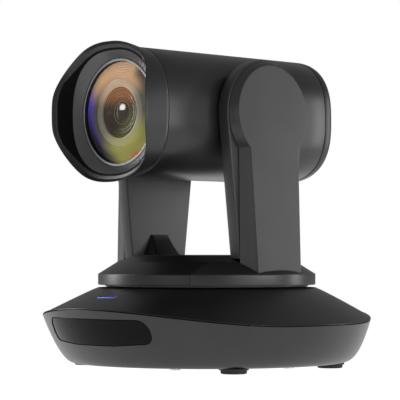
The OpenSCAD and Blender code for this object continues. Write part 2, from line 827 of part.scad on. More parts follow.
// Wedge that rises from the cover against the foot of each arm
module fairing(side) {
    foot = [7.4, 10.6];
    top = [0.6, 6.3];
    base_z = dome_top - 0.5;
    x0 = shell_x - play;
    points = [
        for (y = [-foot[1], foot[1]]) [side * x0, y, base_z],
        for (y = [-foot[1] * 0.84, foot[1] * 0.84]) [side * (x0 - foot[0]), y, base_z],
        for (y = [-top[1], top[1]]) [side * x0, y, base_z + 11.3],
        for (y = [-top[1], top[1]]) [side * (x0 - top[0]), y, base_z + 11.3]];
    hull() polyhedron(points = points, faces = [[0, 1, 3, 2], [4, 6, 7, 5], [0, 2, 6, 4],
        [1, 5, 7, 3], [2, 3, 7, 6], [0, 4, 5, 1]]);
}

// Side cover under an arm
module turntable_side(side) {
    color("#2b2b2d") {
        intersection() {
            dome_shell();
            centred([60, 140, 100], [side * (side_x + shadow + 30), 0, 0]);
        }
        for (y = [-28, 28]) cover_post(side * (side_x + 5), y);
    }
}

// ---------- yoke ----------
// Side view of an arm's inner shell: a round head that tapers to the foot
module blade_outline(inset = 0) {
    hull() {
        translate([tilt_z, 0]) circle(arm_head_r - inset, $fn = 96);
        translate([arm_foot_z + (inset > 0 ? slice : 0), -(stem_foot_half - inset)])
            square([1, 2 * (stem_foot_half - inset)]);
    }
}

// Flat solid of the arm's inner outline
module blade(side, x, t, inset = 0) {
    mirror([side < 0 ? 1 : 0, 0, 0]) translate([x + t, 0, 0]) rotate([0, -90, 0])
        linear_extrude(t) blade_outline(inset);
}

// Hollow inner half of an arm
module arm_shell(side) {
    color("#333335") difference() {
        blade(side, shell_x, arm_shell_t);
        blade(side, shell_x + arm_wall, arm_shell_t, arm_wall);
        mirror([side < 0 ? 1 : 0, 0, 0]) {
            on_tilt_axis(shell_x - 1) cylinder(r = shaft_boss_r + 1, h = 5, $fn = fine);
            centred([arm_shell_t - arm_wall, 2 * (stem_foot_half - 3), 6],
                [shell_x + arm_wall + (arm_shell_t - arm_wall) / 2 + slice, 0, arm_foot_z - 1]);
        }
    }
}

// Outer half of an arm: a round head and a straight stem, whose sides draw in outwards
module keyhole(inset, depth) {
    intersection() {
        union() {
            on_tilt_axis(split_x) cylinder(r1 = arm_head_r - 0.8 - inset,
                r2 = arm_head_r - 2.4 - inset, h = 10, $fn = 96);
            stem(inset);
        }
        // the outer face leans out towards the foot
        translate([frame_x - depth, 0, tilt_z]) rotate([0, -frame_lean, 0])
            translate([-40, -60, -120]) cube([40, 120, 160]);
    }
}

// Straight lower part of an arm, narrower outwards
module stem(inset) {
    foot = stem_foot_half - inset;
    neck = stem_neck_half - inset;
    low = frame_top + play + (inset > 0 ? 3 : 0);
    back = split_x - (inset > 0 ? slice : 0);
    out = outer_x(table_z) + 1;
    k = stem_slope * (out - split_x);
    points = [for (x = [[back, 0], [out, k]]) each [
        [x[0], -(foot - x[1]), low], [x[0], foot - x[1], low],
        [x[0], neck - x[1], tilt_z - 10], [x[0], -(neck - x[1]), tilt_z - 10]]];
    polyhedron(points = points, faces = [[0, 1, 2, 3], [4, 7, 6, 5], [0, 4, 5, 1],
        [1, 5, 6, 2], [2, 6, 7, 3], [3, 7, 4, 0]]);
}

// Hollow outer half of an arm, with the bearing's seat
module arm_frame(side) {
    color("#39393b") mirror([side < 0 ? 1 : 0, 0, 0]) {
        difference() {
            union() {
                difference() {
                    keyhole(0, 0);
                    keyhole(2.4, arm_wall);
                }
                intersection() {
                    on_tilt_axis(bearing_x) cylinder(r = bearing_r + 2.5, h = 10, $fn = fine);
                    keyhole(1, 0.8);
                }
            }
            on_tilt_axis(bearing_x - 1) cylinder(r = bearing_r + fit,
                h = bearing_w + 1.2, $fn = fine);
            for (y = [-arm_screw_y, arm_screw_y]) translate([arm_screw_x, y, table_z])
                cylinder(r = 1.3, h = 9, $fn = 24);
        }
    }
}

// Screws that hold the arms to the turntable's plate
module arm_screws() {
    color("silver") for (side = [-1, 1], y = [-arm_screw_y, arm_screw_y])
        translate([side * arm_screw_x, y, table_z + 0.2])
            cylinder(r = 1.25, h = 6, $fn = 24);
}

// ---------- tilt drive ----------
module tilt_bearing(side) {
    color("silver") mirror([side < 0 ? 1 : 0, 0, 0]) on_tilt_axis(bearing_x)
        tube(bearing_r, shaft_r + fit, bearing_w);
}

// Hollow shaft with a flange inside the barrel
module tilt_shaft(side) {
    color("#a8abae") mirror([side < 0 ? 1 : 0, 0, 0]) difference() {
        union() {
            on_tilt_axis(barrel_w - shaft_flange_in)
                cylinder(r = shaft_flange[0], h = shaft_flange[1], $fn = fine);
            on_tilt_axis(barrel_w - shaft_flange_in + 1)
                cylinder(r = shaft_boss_r, h = shaft_flange_in - 1 + arm_gap + 1.2, $fn = fine);
            on_tilt_axis(barrel_w) cylinder(r = shaft_r, h = bearing_x + bearing_w - barrel_w,
                $fn = fine);
        }
        on_tilt_axis(barrel_w - 8) cylinder(r = shaft_bore_r, h = 40, $fn = 32);
    }
}

// Large pulley of the tilt drive
module tilt_pulley() {
    color("#c9cacd") on_tilt_axis(tilt_pulley_x + 0.3)
        pulley(tilt_pulley_r, shaft_r, tilt_pulley_w - 0.3);
}

// Flat round motor in the right arm
module tilt_motor() {
    color("#3c3d40") difference() {
        on_tilt_axis(bearing_x, tilt_motor_z)
            cylinder(r = tilt_motor_r, h = tilt_motor_t, $fn = fine);
        on_tilt_axis(bearing_x - 1, tilt_motor_z)
            cylinder(r = tilt_motor_shaft_r + fit, h = 4.5, $fn = 32);
    }
}

// The tilt motor's shaft and small pulley
module tilt_motor_pulley() {
    color("#c9cacd") {
        on_tilt_axis(tilt_pulley_x + 0.3, tilt_motor_z)
            pulley(tilt_small_r, tilt_motor_shaft_r - slice, tilt_pulley_w - 0.3);
        on_tilt_axis(tilt_pulley_x + 0.3, tilt_motor_z)
            cylinder(r = tilt_motor_shaft_r, h = 5.6, $fn = 32);
    }
}

// Belt inside the right arm
module tilt_belt() {
    color("#161616") translate([tilt_pulley_x + 0.3 + flange_t + 0.1, 0, tilt_z])
        rotate([0, 90, 0]) belt_loop(tilt_pulley_r, tilt_small_r, tilt_z - tilt_motor_z,
            tilt_pulley_w - 0.3 - 2 * flange_t - 0.2);
}

// ---------- head ----------
module head_section(inset, from_y, to_y) {
    translate([0, -from_y, tilt_z]) rotate([90, 0, 0]) linear_extrude(to_y - from_y)
        polygon(squircle(barrel_w - inset, barrel_h - inset, barrel_n));
}

// Main housing of the head, a tube with a hole at each shaft
module head_barrel() {
    color("#2b2b2d") difference() {
        head_section(0, -barrel_rear, barrel_front);
        head_section(barrel_wall, -barrel_rear - 1, barrel_front + 1);
        for (side = [-1, 1]) mirror([side < 0 ? 1 : 0, 0, 0])
            on_tilt_axis(barrel_w - 8) cylinder(r = shaft_boss_r + fit, h = 20, $fn = fine);
    }
}

function rim_y(z) = barrel_front + rim_back
    + rim_lobe * smooth((lobe_z[1] - abs(z)) / (lobe_z[1] - lobe_z[0]));
function rim_ring(w, h, back = 0) =
    [for (p = squircle(w, h, rim_n)) [p[0], -rim_y(p[1]) + back, tilt_z + p[1]]];

// Hood whose rim reaches further forward at its sides
module front_hood() {
    inner = [bezel_w + 0.2, bezel_h + 0.2];
    color("#2e2e30") ring_solid([
        head_ring(barrel_w, barrel_h, barrel_n, barrel_front + shadow),
        head_ring(barrel_w - 0.3, barrel_h + 0.6, 2.6, barrel_front + 5),
        rim_ring(rim_w, rim_h),
        rim_ring(rim_w - 0.3, rim_h - 0.3),
        rim_ring(rim_w - lip_t[0], rim_h - lip_t[1], lip_slope),
        head_ring(inner[0], inner[1], bezel_n, barrel_front + 5.8),
        head_ring(inner[0], inner[1], bezel_n, barrel_front + shadow)]);
}

// Sloping frame round the lens
module front_bezel() {
    hole = lens_r + ring_wall + 0.1;
    color("#3b3c3e") ring_solid([
        head_ring(bezel_w, bezel_h, bezel_n, barrel_front + 5.8),
        head_ring(hole, hole, 2, ring_front - 0.2),
        head_ring(hole, hole, 2, ring_front - 2),
        head_ring(bezel_w, bezel_h, bezel_n, barrel_front + 2.4)]);
}

// Ring that the front glass sits in
module lens_ring() {
    color("#0f0f10") facing_front(glass_edge - ring_depth) difference() {
        cylinder(r = lens_r + ring_wall, h = ring_front - glass_edge + ring_depth, $fn = 96);
        translate([0, 0, 1.6]) cylinder(r = lens_r, h = 20, $fn = 96);
        translate([0, 0, -1]) cylinder(r = lens_r - 1.5, h = 20, $fn = 96);
    }
}

// Radius of the sphere whose cap has the glass's width and rise
glass_r = lens_r - 0.2;
glass_sphere = (pow(glass_r, 2) + pow(glass_sag, 2)) / (2 * glass_sag);
function glass_rise(r) = sqrt(pow(glass_sphere, 2) - r * r) - glass_sphere + glass_sag;

// Domed front lens
module front_glass() {
    steps = 12;
    color([0.5, 0.5, 0.6, 0.4]) facing_front(glass_edge) rotate_extrude($fn = 96) polygon([
        for (i = [0:steps]) let (r = glass_r * i / steps) [r, glass_rise(r)],
        for (i = [steps:-1:0]) let (r = glass_r * i / steps) [r, glass_rise(r) - glass_t]]);
}

// Ribbed cone round the pupil, with the inner lens's dome
module lens_baffle() {
    color("#55544e") facing_front(0) rotate_extrude($fn = 96) polygon([
        [lens_r - 1.6, baffle_back], [lens_r - 1.6, baffle_back + 1],
        [17.5, baffle_back + 2.2], [pupil_r, baffle_back + 3.2], [pupil_r, baffle_back + 1.6],
        [17, baffle_back]]);
    color([0.1, 0.1, 0.08]) facing_front(baffle_back - 3.4) intersection() {
        cylinder(r = pupil_r + slice, h = 10, $fn = 96);
        translate([0, 0, -9.5]) sphere(r = 16, $fn = 96);
    }
}

// Tube that holds the lens groups on two rods
module lens_tube() {
    color("#1e1e20") difference() {
        facing_front(tube_back) union() {
            cylinder(r = tube_r, h = glass_edge - ring_depth - tube_back, $fn = 96);
            cylinder(r = tube_r + 2.5, h = 3, $fn = 96);
        }
        facing_front(tube_back + 3) cylinder(r = tube_r - tube_wall, h = 200, $fn = 96);
        facing_front(tube_back - 1) cylinder(r = 9, h = 10, $fn = fine);
    }
    color("silver") for (x = [-rod_x, rod_x]) translate([x, 0, 0])
        facing_front(tube_back + 3 - slice)
            cylinder(r = rod_r, h = baffle_back - 8 - tube_back, $fn = 32);
}

// Lens carrier that slides on the rods
module lens_group(y, r) {
    difference() {
        facing_front(y) cylinder(r = tube_r - tube_wall - 0.4, h = group_t, $fn = 96);
        for (x = [-rod_x, rod_x]) translate([x, 0, 0]) facing_front(y - 1)
            cylinder(r = rod_r + fit, h = group_t + 2, $fn = 32);
        facing_front(y + group_t - 1.6) cylinder(r = r, h = 4, $fn = 96);
    }
}

// Carrier that sets the magnification
module zoom_group() {
    color("#2a2a33") lens_group(zoom_y, 11);
}

// Carrier that sets the focus
module focus_group() {
    color("#2a2a33") lens_group(focus_y, 8);
}

// Sensor board, spacer posts and processor board with its heat sink
module sensor_board() {
    back = -tube_back;
    color("#1f5a34") centred([40, 1.6, 40], [0, back + 1.2, tilt_z - 20]);
    color("#303030") centred([12, 0.3, 10], [0, back + 0.25, tilt_z - 5]);
    color("#1f5a34") centred([46, 1.6, 42], [0, back + 12.8, tilt_z - 21]);
    color("#8a8d90") centred([24, 6, 24], [0, back + 16.6, tilt_z - 12]);
    color("#c0a050") for (x = [-17, 17], z = [-16, 16])
        translate([x, back, tilt_z + z]) rotate([-90, 0, 0]) cylinder(r = 1.6, h = 12.8, $fn = 24);
}

// Frame inside the head that holds the lens tube and the shafts
module head_chassis() {
    inset = barrel_wall + play;
    front = barrel_front - 11;
    back = -tube_back - 3;
    rail_x = barrel_w - shaft_flange_in - 2;
    color("#8a8d90") difference() {
        union() {
            head_section(inset, front - 3, front);
            head_section(inset, -back, 3 - back);
            for (side = [-1, 1]) {
                centred([16, front + back, 1.6], [0, (back - front) / 2, tilt_z + side * 26 - 0.8]);
                centred([2, front + back, 24], [side * (rail_x + 1), (back - front) / 2, tilt_z - 12]);
            }
        }
        facing_front(-60) cylinder(r = tube_r + fit, h = 130, $fn = 96);
    }
}

// Rounded cap that closes the head
module rear_cap() {
    color("#2e2e30") difference() {
        loft([
            head_ring(barrel_w, barrel_h, barrel_n, -barrel_rear - shadow),
            for (i = [0:4]) let (a = 22.5 * i, inset = cap_round * (1 - cos(a)))
                head_ring(barrel_w - inset, barrel_h - inset, barrel_n,
                    -barrel_rear - cap_depth + cap_round * (1 - sin(a)))]);
        head_section(barrel_wall + 2, -barrel_rear - cap_depth + 2, -barrel_rear + 1);
    }
}

lower_shell();
base_top_cover();
bottom_plate();
tripod_insert();
rubber_feet();
ir_window();
status_light_pipe();
led_board();
base_chassis();
main_board();
connector_bay();
connector_panel();
dc_jack();
audio_jack();
usb_port();
hdmi_port();
lan_port();
sdi_connector();
serial_socket();
selector_switch();
selector_dial();
pan_motor();
pan_motor_pulley();
pan_belt();
pan_bearing_outer();
pan_bearing_balls();
base_screws();
pan_bearing_inner();
pan_hub();
pan_pulley();
hub_retaining_ring();
turntable_frame();
turntable_cover();
turntable_side(-1);  // turntable_side_left
turntable_side(1);  // turntable_side_right
arm_frame(-1);  // arm_frame_left
arm_frame(1);  // arm_frame_right
arm_shell(-1);  // arm_shell_left
arm_shell(1);  // arm_shell_right
arm_screws();
tilt_motor();
tilt_motor_pulley();
tilt_belt();
tilt_bearing(-1);  // tilt_bearing_left
tilt_bearing(1);  // tilt_bearing_right
tilt_pulley();
tilt_shaft(-1);  // tilt_shaft_left
tilt_shaft(1);  // tilt_shaft_right
head_barrel();
front_hood();
front_bezel();
lens_ring();
front_glass();
lens_baffle();
rear_cap();
lens_tube();
zoom_group();
focus_group();
sensor_board();
head_chassis();
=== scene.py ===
# %% [markdown]
# A pan-tilt-zoom camera, built around its engineering model.
#
# The engineering model says where every part is and how it moves, so it is loaded
# first and never changed. This notebook adds what the eye sees: rounded mouldings,
# thin parting lines, a coated lens, sockets with their contacts, and a finish for
# every part. A part whose plain shape is right keeps it and only gets a finish.

# %% Load the frame
import json
from math import acos, asin, atan2, cos, hypot, pi, radians, sin, sqrt, tan

import bmesh
import bpy
from mathutils import Matrix, Vector


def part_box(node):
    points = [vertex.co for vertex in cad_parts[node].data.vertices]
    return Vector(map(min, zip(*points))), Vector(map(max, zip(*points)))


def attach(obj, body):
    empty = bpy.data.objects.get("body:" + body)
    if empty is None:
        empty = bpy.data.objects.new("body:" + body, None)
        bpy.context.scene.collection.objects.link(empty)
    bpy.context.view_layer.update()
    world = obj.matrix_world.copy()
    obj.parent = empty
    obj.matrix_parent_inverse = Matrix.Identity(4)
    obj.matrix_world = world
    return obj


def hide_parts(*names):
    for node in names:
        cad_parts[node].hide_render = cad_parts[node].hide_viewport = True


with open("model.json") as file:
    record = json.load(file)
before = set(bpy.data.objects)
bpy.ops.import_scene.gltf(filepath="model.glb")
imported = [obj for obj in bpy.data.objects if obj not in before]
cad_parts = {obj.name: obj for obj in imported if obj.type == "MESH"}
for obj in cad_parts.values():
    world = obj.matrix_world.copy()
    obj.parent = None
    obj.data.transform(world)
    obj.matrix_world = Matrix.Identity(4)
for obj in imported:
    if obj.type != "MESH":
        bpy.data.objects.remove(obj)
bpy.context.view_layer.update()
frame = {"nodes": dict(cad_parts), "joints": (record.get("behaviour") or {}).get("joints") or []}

MM = 0.001

# %% [markdown]
# The camera comes first, so that every later step can be judged in the same view.
# It stands level with the base, a metre away on the side of the right arm, and looks
# up by a degree and a half. A long lens keeps the arms almost parallel.

# %% Camera and view
stage_scene = bpy.context.scene
view_angle = radians(45.47)
view_distance = 1.0009
view_height = 0.0591
view_turn = radians(0.2)
view_rise = radians(1.56)

eye = bpy.data.cameras.new("viewer")
eye.sensor_width = 36
eye.lens = 172.98
viewer = bpy.data.objects.new("viewer", eye)
stage_scene.collection.objects.link(viewer)
viewer.location = (sin(view_angle) * view_distance, -cos(view_angle) * view_distance, view_height)
heading = Vector((-sin(view_angle + view_turn), cos(view_angle + view_turn), tan(view_rise)))
viewer.rotation_euler = heading.to_track_quat("-Z", "Y").to_euler()
stage_scene.camera = viewer
stage_scene.view_settings.view_transform = "Standard"
print("viewer at", [round(c, 3) for c in viewer.location])

# %% [markdown]
# All sizes below are read from the engineering parts in millimetres. A span holds the
# six faces of one part's box, so a casing can be drawn around the part it dresses.

# %% Sizes from the frame
class Span:
    """The box of one engineering part, in millimetres."""

    def __init__(self, node):
        low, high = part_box(node)
        self.x0, self.y0, self.z0 = (c / MM for c in low)
        self.x1, self.y1, self.z1 = (c / MM for c in high)
        self.mid_x = (self.x0 + self.x1) / 2


def joint_place(name):
    """Where a joint's axis is, in millimetres."""
    row = next(j for j in frame["joints"] if j["name"] == name)
    return [c / MM for c in row["pos_m"]]


tilt_z = joint_place("tilt")[2]
barrel = Span("head_barrel")
bowl = Span("lower_shell")
slope = Span("base_top_cover")
print(f"tilt axis at {tilt_z:.1f} mm, barrel {barrel.x1 - barrel.x0:.1f} mm wide")

# %% [markdown]
# Almost every moulding here is a skin pulled over a row of outlines: a bowl is rings of
# growing radius, a barrel is one outline repeated along its axis, and a turned part is
# rings of one radius each. So one helper makes a skin from rings of equal length.
# It merges the points that meet at a pole and turns every face outward.

# %% Skins from rings
def make_piece(name, points, faces):
    """A mesh object from points in millimetres, with its faces turned outward."""
    mesh = bpy.data.meshes.new(name)
    mesh.from_pydata([Vector(p) * MM for p in points], [], faces)
    work = bmesh.new()
    work.from_mesh(mesh)
    bmesh.ops.remove_doubles(work, verts=work.verts, dist=1e-7)
    bmesh.ops.recalc_face_normals(work, faces=work.faces)
    work.to_mesh(mesh)
    work.free()
    piece = bpy.data.objects.new(name, mesh)
    stage_scene.collection.objects.link(piece)
    return piece


def skin(name, rings, loop=False):
    """A closed solid through rings of equal length. A loop joins the last to the first."""
    count = len(rings[0])
    rows = len(rings)
    points = [p for ring in rings for p in ring]
    faces = []
    for i in range(rows if loop else rows - 1):
        a = i * count
        b = (i + 1) % rows * count
        for j in range(count):
            k = (j + 1) % count
            faces.append((a + j, a + k, b + k, b + j))
    if not loop:
        faces.append(tuple(range(count)))
        faces.append(tuple((rows - 1) * count + j for j in range(count)))
    return make_piece(name, points, faces)


def soften(piece, crease=34):
    """Smooth shading that stays sharp at edges steeper than the crease angle."""
    piece.data.shade_smooth()
    piece.data.set_sharp_from_angle(angle=radians(crease))
    return piece


def settle(piece):
    """Replaces a piece's mesh by what its modifiers make of it."""
    seen = piece.evaluated_get(bpy.context.evaluated_depsgraph_get())
    mesh = bpy.data.meshes.new_from_object(seen)
    piece.modifiers.clear()
    piece.data = mesh
    return piece


def carve(piece, cutter, how="DIFFERENCE"):
    """Cuts one solid with another and throws the cutter away."""
    cut = piece.modifiers.new("cut", "BOOLEAN")
    cut.operation = how
    cut.solver = "EXACT"
    cut.object = cutter
    settle(piece)
    bpy.data.objects.remove(cutter)
    return piece


def block(name, x, y, z):
    """A cutter with flat sides, from its limits along each axis."""
    corners = [(x[i], y[j], z[k]) for i in (0, 1) for j in (0, 1) for k in (0, 1)]
    sides = [(0, 1, 3, 2), (4, 5, 7, 6), (0, 1, 5, 4), (2, 3, 7, 6), (0, 2, 6, 4), (1, 3, 7, 5)]
    return make_piece(name, corners, sides)


# %% [markdown]
# Real mouldings have no razor edges: a thin bright line runs along every corner where
# a small radius catches the light. So outlines and turned profiles are written as a few
# corner points, each with its own radius, and this helper swaps a corner for an arc.

# %% Rounded outlines
def rounded(corners, steps=5):
    """A closed outline from (a, b, radius) corners, with an arc at each corner."""
    path = []
    count = len(corners)
    for i, (a, b, radius) in enumerate(corners):
        here = Vector((a, b))
        if radius <= 0:
            path.append(here)
            continue
        before = (Vector(corners[i - 1][:2]) - here).normalized()
        after = (Vector(corners[(i + 1) % count][:2]) - here).normalized()
        half = before.angle(after) / 2
        reach = radius / tan(half)
        centre = here + (before + after).normalized() * radius / sin(half)
        start = here + before * reach - centre
        turn = start.angle_signed(here + after * reach - centre)
        for k in range(steps + 1):
            spin = Matrix.Rotation(-turn * k / steps, 2)
            path.append(centre + spin @ start)
    return path


def evenly(path, step):
    """A closed outline with extra points, so that none of its sides is longer than a step."""
    fine = []
    for i, here in enumerate(path):
        after = path[(i + 1) % len(path)]
        parts = max(1, round((after - here).length / step))
        fine += [here.lerp(after, k / parts) for k in range(parts)]
    return fine


def turned(name, profile, steps):
    """A lathe part about the pan axis, from a closed profile of radius and height."""
    turns = [2 * pi * i / steps for i in range(steps)]
    rings = [[(r * cos(turn), r * sin(turn), z) for turn in turns] for r, z in profile]
    return skin(name, rings, loop=True)


def quarter(steps, first=0):
    """Sine and cosine at even steps along a quarter circle, for rounding an edge."""
    turns = [pi / 2 * k / steps for k in range(first, steps + 1)]
    return [(sin(turn), cos(turn)) for turn in turns]


def smooth_step(t):
    """Rises from 0 to 1 with no kink at either end."""
    t = max(0.0, min(1.0, t))
    return t * t * (3 - 2 * t)


print("corner test:", len(rounded([(0, 0, 1), (9, 0, 1), (9, 9, 1), (0, 9, 0)])), "points")

# %% [markdown]
# The finishes are node trees. Sums of sockets are easier to read as sums, so a small
# class lets Python's own operators add the Math nodes, and one method of the recipe
# adds any other node. What varies over a surface here is only ever colour, roughness,
# metal, coat, alpha, glow or bump. The rest is a plain number on the shader.

# %% Shader helpers
class Flow:
    """A socket in a material that ordinary sums can be written with."""

    def __init__(self, recipe, socket):
        self.recipe = recipe
        self.socket = socket

    def maths(self, operation, *values):
        return self.recipe.add("ShaderNodeMath", {"operation": operation}, dict(enumerate(values)))

    def __add__(self, other):
        return self.maths("ADD", self, other)

    def __sub__(self, other):
        return self.maths("SUBTRACT", self, other)

    def __rsub__(self, other):
        return self.maths("SUBTRACT", other, self)

    def __mul__(self, other):
        return self.maths("MULTIPLY", self, other)

    def __truediv__(self, other):
        return self.maths("DIVIDE", self, other)

    def __pow__(self, other):
        return self.maths("POWER", self, other)

    __radd__ = __add__
    __rmul__ = __mul__

    def wave(self):
        """Rises and falls between 0 and 1 as the value grows."""
        return self.recipe.add("ShaderNodeMath", {"operation": "SINE"}, {0: self}) * 0.5 + 0.5

    def between(self, low, high):
        """0 below low, 1 above high, and a smooth rise in between."""
        sockets = {"Value": self, "From Min": low, "From Max": high}
        return self.recipe.add("ShaderNodeMapRange", {"interpolation_type": "SMOOTHSTEP"}, sockets)


class Recipe:
    """A finish: one principled shader and the nodes that feed it."""

    def __init__(self, name, **constants):
        self.material = bpy.data.materials.new(name)
        self.material.use_nodes = True
        self.tree = self.material.node_tree
        self.shader = self.tree.nodes["Principled BSDF"]
        for socket, value in constants.items():
            label = socket.replace("_", " ").title().replace("Ior", "IOR")
            self.shader.inputs[label].default_value = value
        self.place = self.add("ShaderNodeTexCoord", output="Object")

    def add(self, kind, settings={}, sockets={}, output=0):
        """Adds a node, sets it up, feeds its sockets, and returns one of its outputs."""
        node = self.tree.nodes.new(kind)
        for key, value in settings.items():
            if key == "stops":
                while len(node.color_ramp.elements) < len(value):
                    node.color_ramp.elements.new(0.5)
                for element, (position, colour) in zip(node.color_ramp.elements, value):
                    element.position = position
                    element.color = (*colour, 1)
            else:
                setattr(node, key, value)
        for key, value in sockets.items():
            if isinstance(value, Flow):
                self.tree.links.new(value.socket, node.inputs[key])
            else:
                node.inputs[key].default_value = value
        return Flow(self, node.outputs[output])

    def noise(self, size_mm, detail=2.0, place=None):
        """Noise whose blobs are about so many millimetres across."""
        sockets = {"Vector": place or self.place, "Scale": 1 / (size_mm * MM), "Detail": detail}
        return self.add("ShaderNodeTexNoise", {}, sockets, "Fac")

    def mix(self, share, one, other):
        """A colour that goes from one to the other."""
        sockets = {0: share}
        for slot, colour in ((6, one), (7, other)):
            sockets[slot] = colour if isinstance(colour, Flow) else (*colour, 1)
        return self.add("ShaderNodeMix", {"data_type": "RGBA"}, sockets, 2)

    def bump(self, height, depth_mm, strength=1.0):
        """Feeds the shader's normal with a relief of the given depth."""
        sockets = {"Height": height, "Distance": depth_mm * MM, "Strength": strength}
        self.feed(Normal=self.add("ShaderNodeBump", {}, sockets, "Normal"))

    def feed(self, **links):
        for key, flow in links.items():
            self.tree.links.new(flow.socket, self.shader.inputs[key.replace("_", " ")])
        return self.material


def finish(piece, material):
    """Gives every face of a piece the same material."""
    piece.data.materials.clear()
    piece.data.materials.append(material)
    return piece


def stand_in(piece, material, body, slot, *nodes):
    """Finishes a piece, hangs it on its body, and lets it stand for engineering parts."""
    finish(piece, material)
    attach(piece, body)
    if nodes:
        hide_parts(*nodes)
    print(f"{piece.name}: {len(piece.data.polygons)} faces")
    return piece

# %% [markdown]
# Moulded plastic. The casings are injection-moulded and spark-eroded to a fine satin
# grain. Three things make it read as plastic: a grain of a few tenths of a millimetre
# that breaks the highlights, slow drifts in roughness where hands have polished it,
# and hardly any colour. The casings share one near-black plastic. The sloping cover and
# the dome's middle moulding get darker copies of it as painted shade, the turntable ring
# and the bezel get paler copies as painted light, and the arms have a grey of their own.

# %% Moulded plastic
def moulded(name, grey, rough=0.42, grain_mm=0.28, depth_mm=0.012):
    """Satin moulded plastic with a fine grain, drifting polish and a little dust."""
    recipe = Recipe(name, specular_ior_level=0.5)
    grain = recipe.noise(grain_mm, 3.0)
    drift = recipe.noise(22.0, 2.0)
    flow = recipe.noise(60.0, 1.0)
    dust = recipe.noise(0.9, 4.0).between(0.66, 0.78) * recipe.noise(14.0, 2.0).between(0.5, 0.7)
    dark = tuple(c * 0.86 for c in grey)
    light = tuple(min(1.0, c * 1.16) for c in grey)
    body = recipe.mix(drift.between(0.3, 0.7), dark, light)
    pale = tuple(min(1.0, c * 1.5 + 0.006) for c in grey)
    recipe.feed(Base_Color=recipe.mix(dust * 0.35, body, pale))
    recipe.feed(Roughness=rough + (drift - 0.5) * 0.09 + (flow - 0.5) * 0.07 + (grain - 0.5) * 0.06)
    recipe.bump(grain, depth_mm, 0.55)
    return recipe.material


shell_plastic = moulded("shell_plastic", (0.013, 0.013, 0.0136), rough=0.34)
# painted shade: the sloping cover gets a darker copy of the casings' black
cover_painted_shade = moulded("cover_painted_shade", (0.007, 0.007, 0.0075), rough=0.38)
# painted shade: the dome's middle moulding, between the arms, gets a darker copy still
dome_painted_shade = moulded("dome_painted_shade", (0.0045, 0.0045, 0.0048), rough=0.38)
arm_plastic = moulded("arm_plastic", (0.024, 0.024, 0.025), rough=0.38, grain_mm=0.24)
hood_plastic = moulded("hood_plastic", (0.014, 0.014, 0.0147), rough=0.34)
# painted light: the turntable ring gets a paler copy of the black, for the highlight along it
ring_painted_light = moulded("ring_painted_light", (0.10, 0.10, 0.102), rough=0.36)
# painted light: the bezel gets a paler copy of the black, for the light it catches
bezel_painted_light = moulded("bezel_painted_light", (0.075, 0.075, 0.077), rough=0.32, grain_mm=0.2)
dark_plastic = moulded("dark_plastic", (0.006, 0.006, 0.0063), rough=0.5, grain_mm=0.35)

# %% [markdown]
# Polished plastic. The window for the remote control is clear-dyed plastic with a
# mirror face. It has next to no grain, only faint wipe marks that show in its gloss.

# %% Polished plastic
def polished(name, colour, rough=0.07, gloss=0.6):
    """Glossy plastic with faint wipe marks."""
    recipe = Recipe(name, specular_ior_level=gloss, coat_roughness=0.04)
    streaks = recipe.add("ShaderNodeMapping", {}, {"Vector": recipe.place, "Scale": (0.25, 0.25, 1.6)})
    wipes = recipe.noise(9.0, 3.0, streaks)
    tone = tuple(c * 1.35 for c in colour)
    recipe.feed(Base_Color=recipe.mix(wipes.between(0.35, 0.75), colour, tone))
    recipe.feed(Roughness=rough + wipes.between(0.45, 0.8) * 0.06)
    recipe.bump(recipe.noise(30.0, 1.0), 0.02, 0.3)
    return recipe.material


window_plastic = polished("window_plastic", (0.0025, 0.0025, 0.003), gloss=0.09)

# %% [markdown]
# Rubber is matt and slightly mottled, with a coarse soft skin and no gloss.

# %% Rubber
def rubbery(name, colour, gloss=0.35):
    """Dull rubber with a mottled skin."""
    recipe = Recipe(name, specular_ior_level=gloss)
    skin_relief = recipe.noise(0.5, 4.0)
    mottle = recipe.noise(3.5, 3.0)
    recipe.feed(Base_Color=recipe.mix(mottle, colour, tuple(c * 2.0 for c in colour)))
    recipe.feed(Roughness=0.72 + (mottle - 0.5) * 0.18)
    recipe.bump(skin_relief, 0.03, 0.6)
    return recipe.material


foot_rubber = rubbery("foot_rubber", (0.010, 0.010, 0.010))
belt_rubber = rubbery("belt_rubber", (0.014, 0.014, 0.015))
# painted shade: a near-black matt sheet for the inside of the hood
painted_shade_lining = rubbery("painted_shade_lining_black", (0.0025, 0.0025, 0.0028), gloss=0.08)

# %% [markdown]
# Metals. Sheet steel keeps the long scratches of rolling, turned parts keep fine rings
# and castings a soft mottle. All three are one recipe: noise that is stretched along
# the way of working. Metals get their colour from the reflection, so their base colour
# is bright and their roughness tells the story.

# %% Metals
def metal(name, colour, rough, stretch=(1, 1, 1), scratch_mm=0.5, depth_mm=0.004):
    """Bare or plated metal, with marks stretched along the way it was worked."""
    recipe = Recipe(name)
    lines = recipe.add("ShaderNodeMapping", {}, {"Vector": recipe.place, "Scale": stretch})
    scratch = recipe.noise(scratch_mm, 3.0, lines)
    tarnish = recipe.noise(9.0, 4.0)
    dull = tuple(c * 0.72 for c in colour)
    recipe.feed(Base_Color=recipe.mix(tarnish.between(0.42, 0.75), colour, dull))
    recipe.feed(Roughness=rough + (scratch - 0.5) * 0.22 + tarnish.between(0.5, 0.8) * 0.14)
    recipe.feed(Metallic=1.0 - tarnish.between(0.68, 0.9) * 0.25)
    recipe.bump(scratch, depth_mm, 0.6)
    return recipe.material


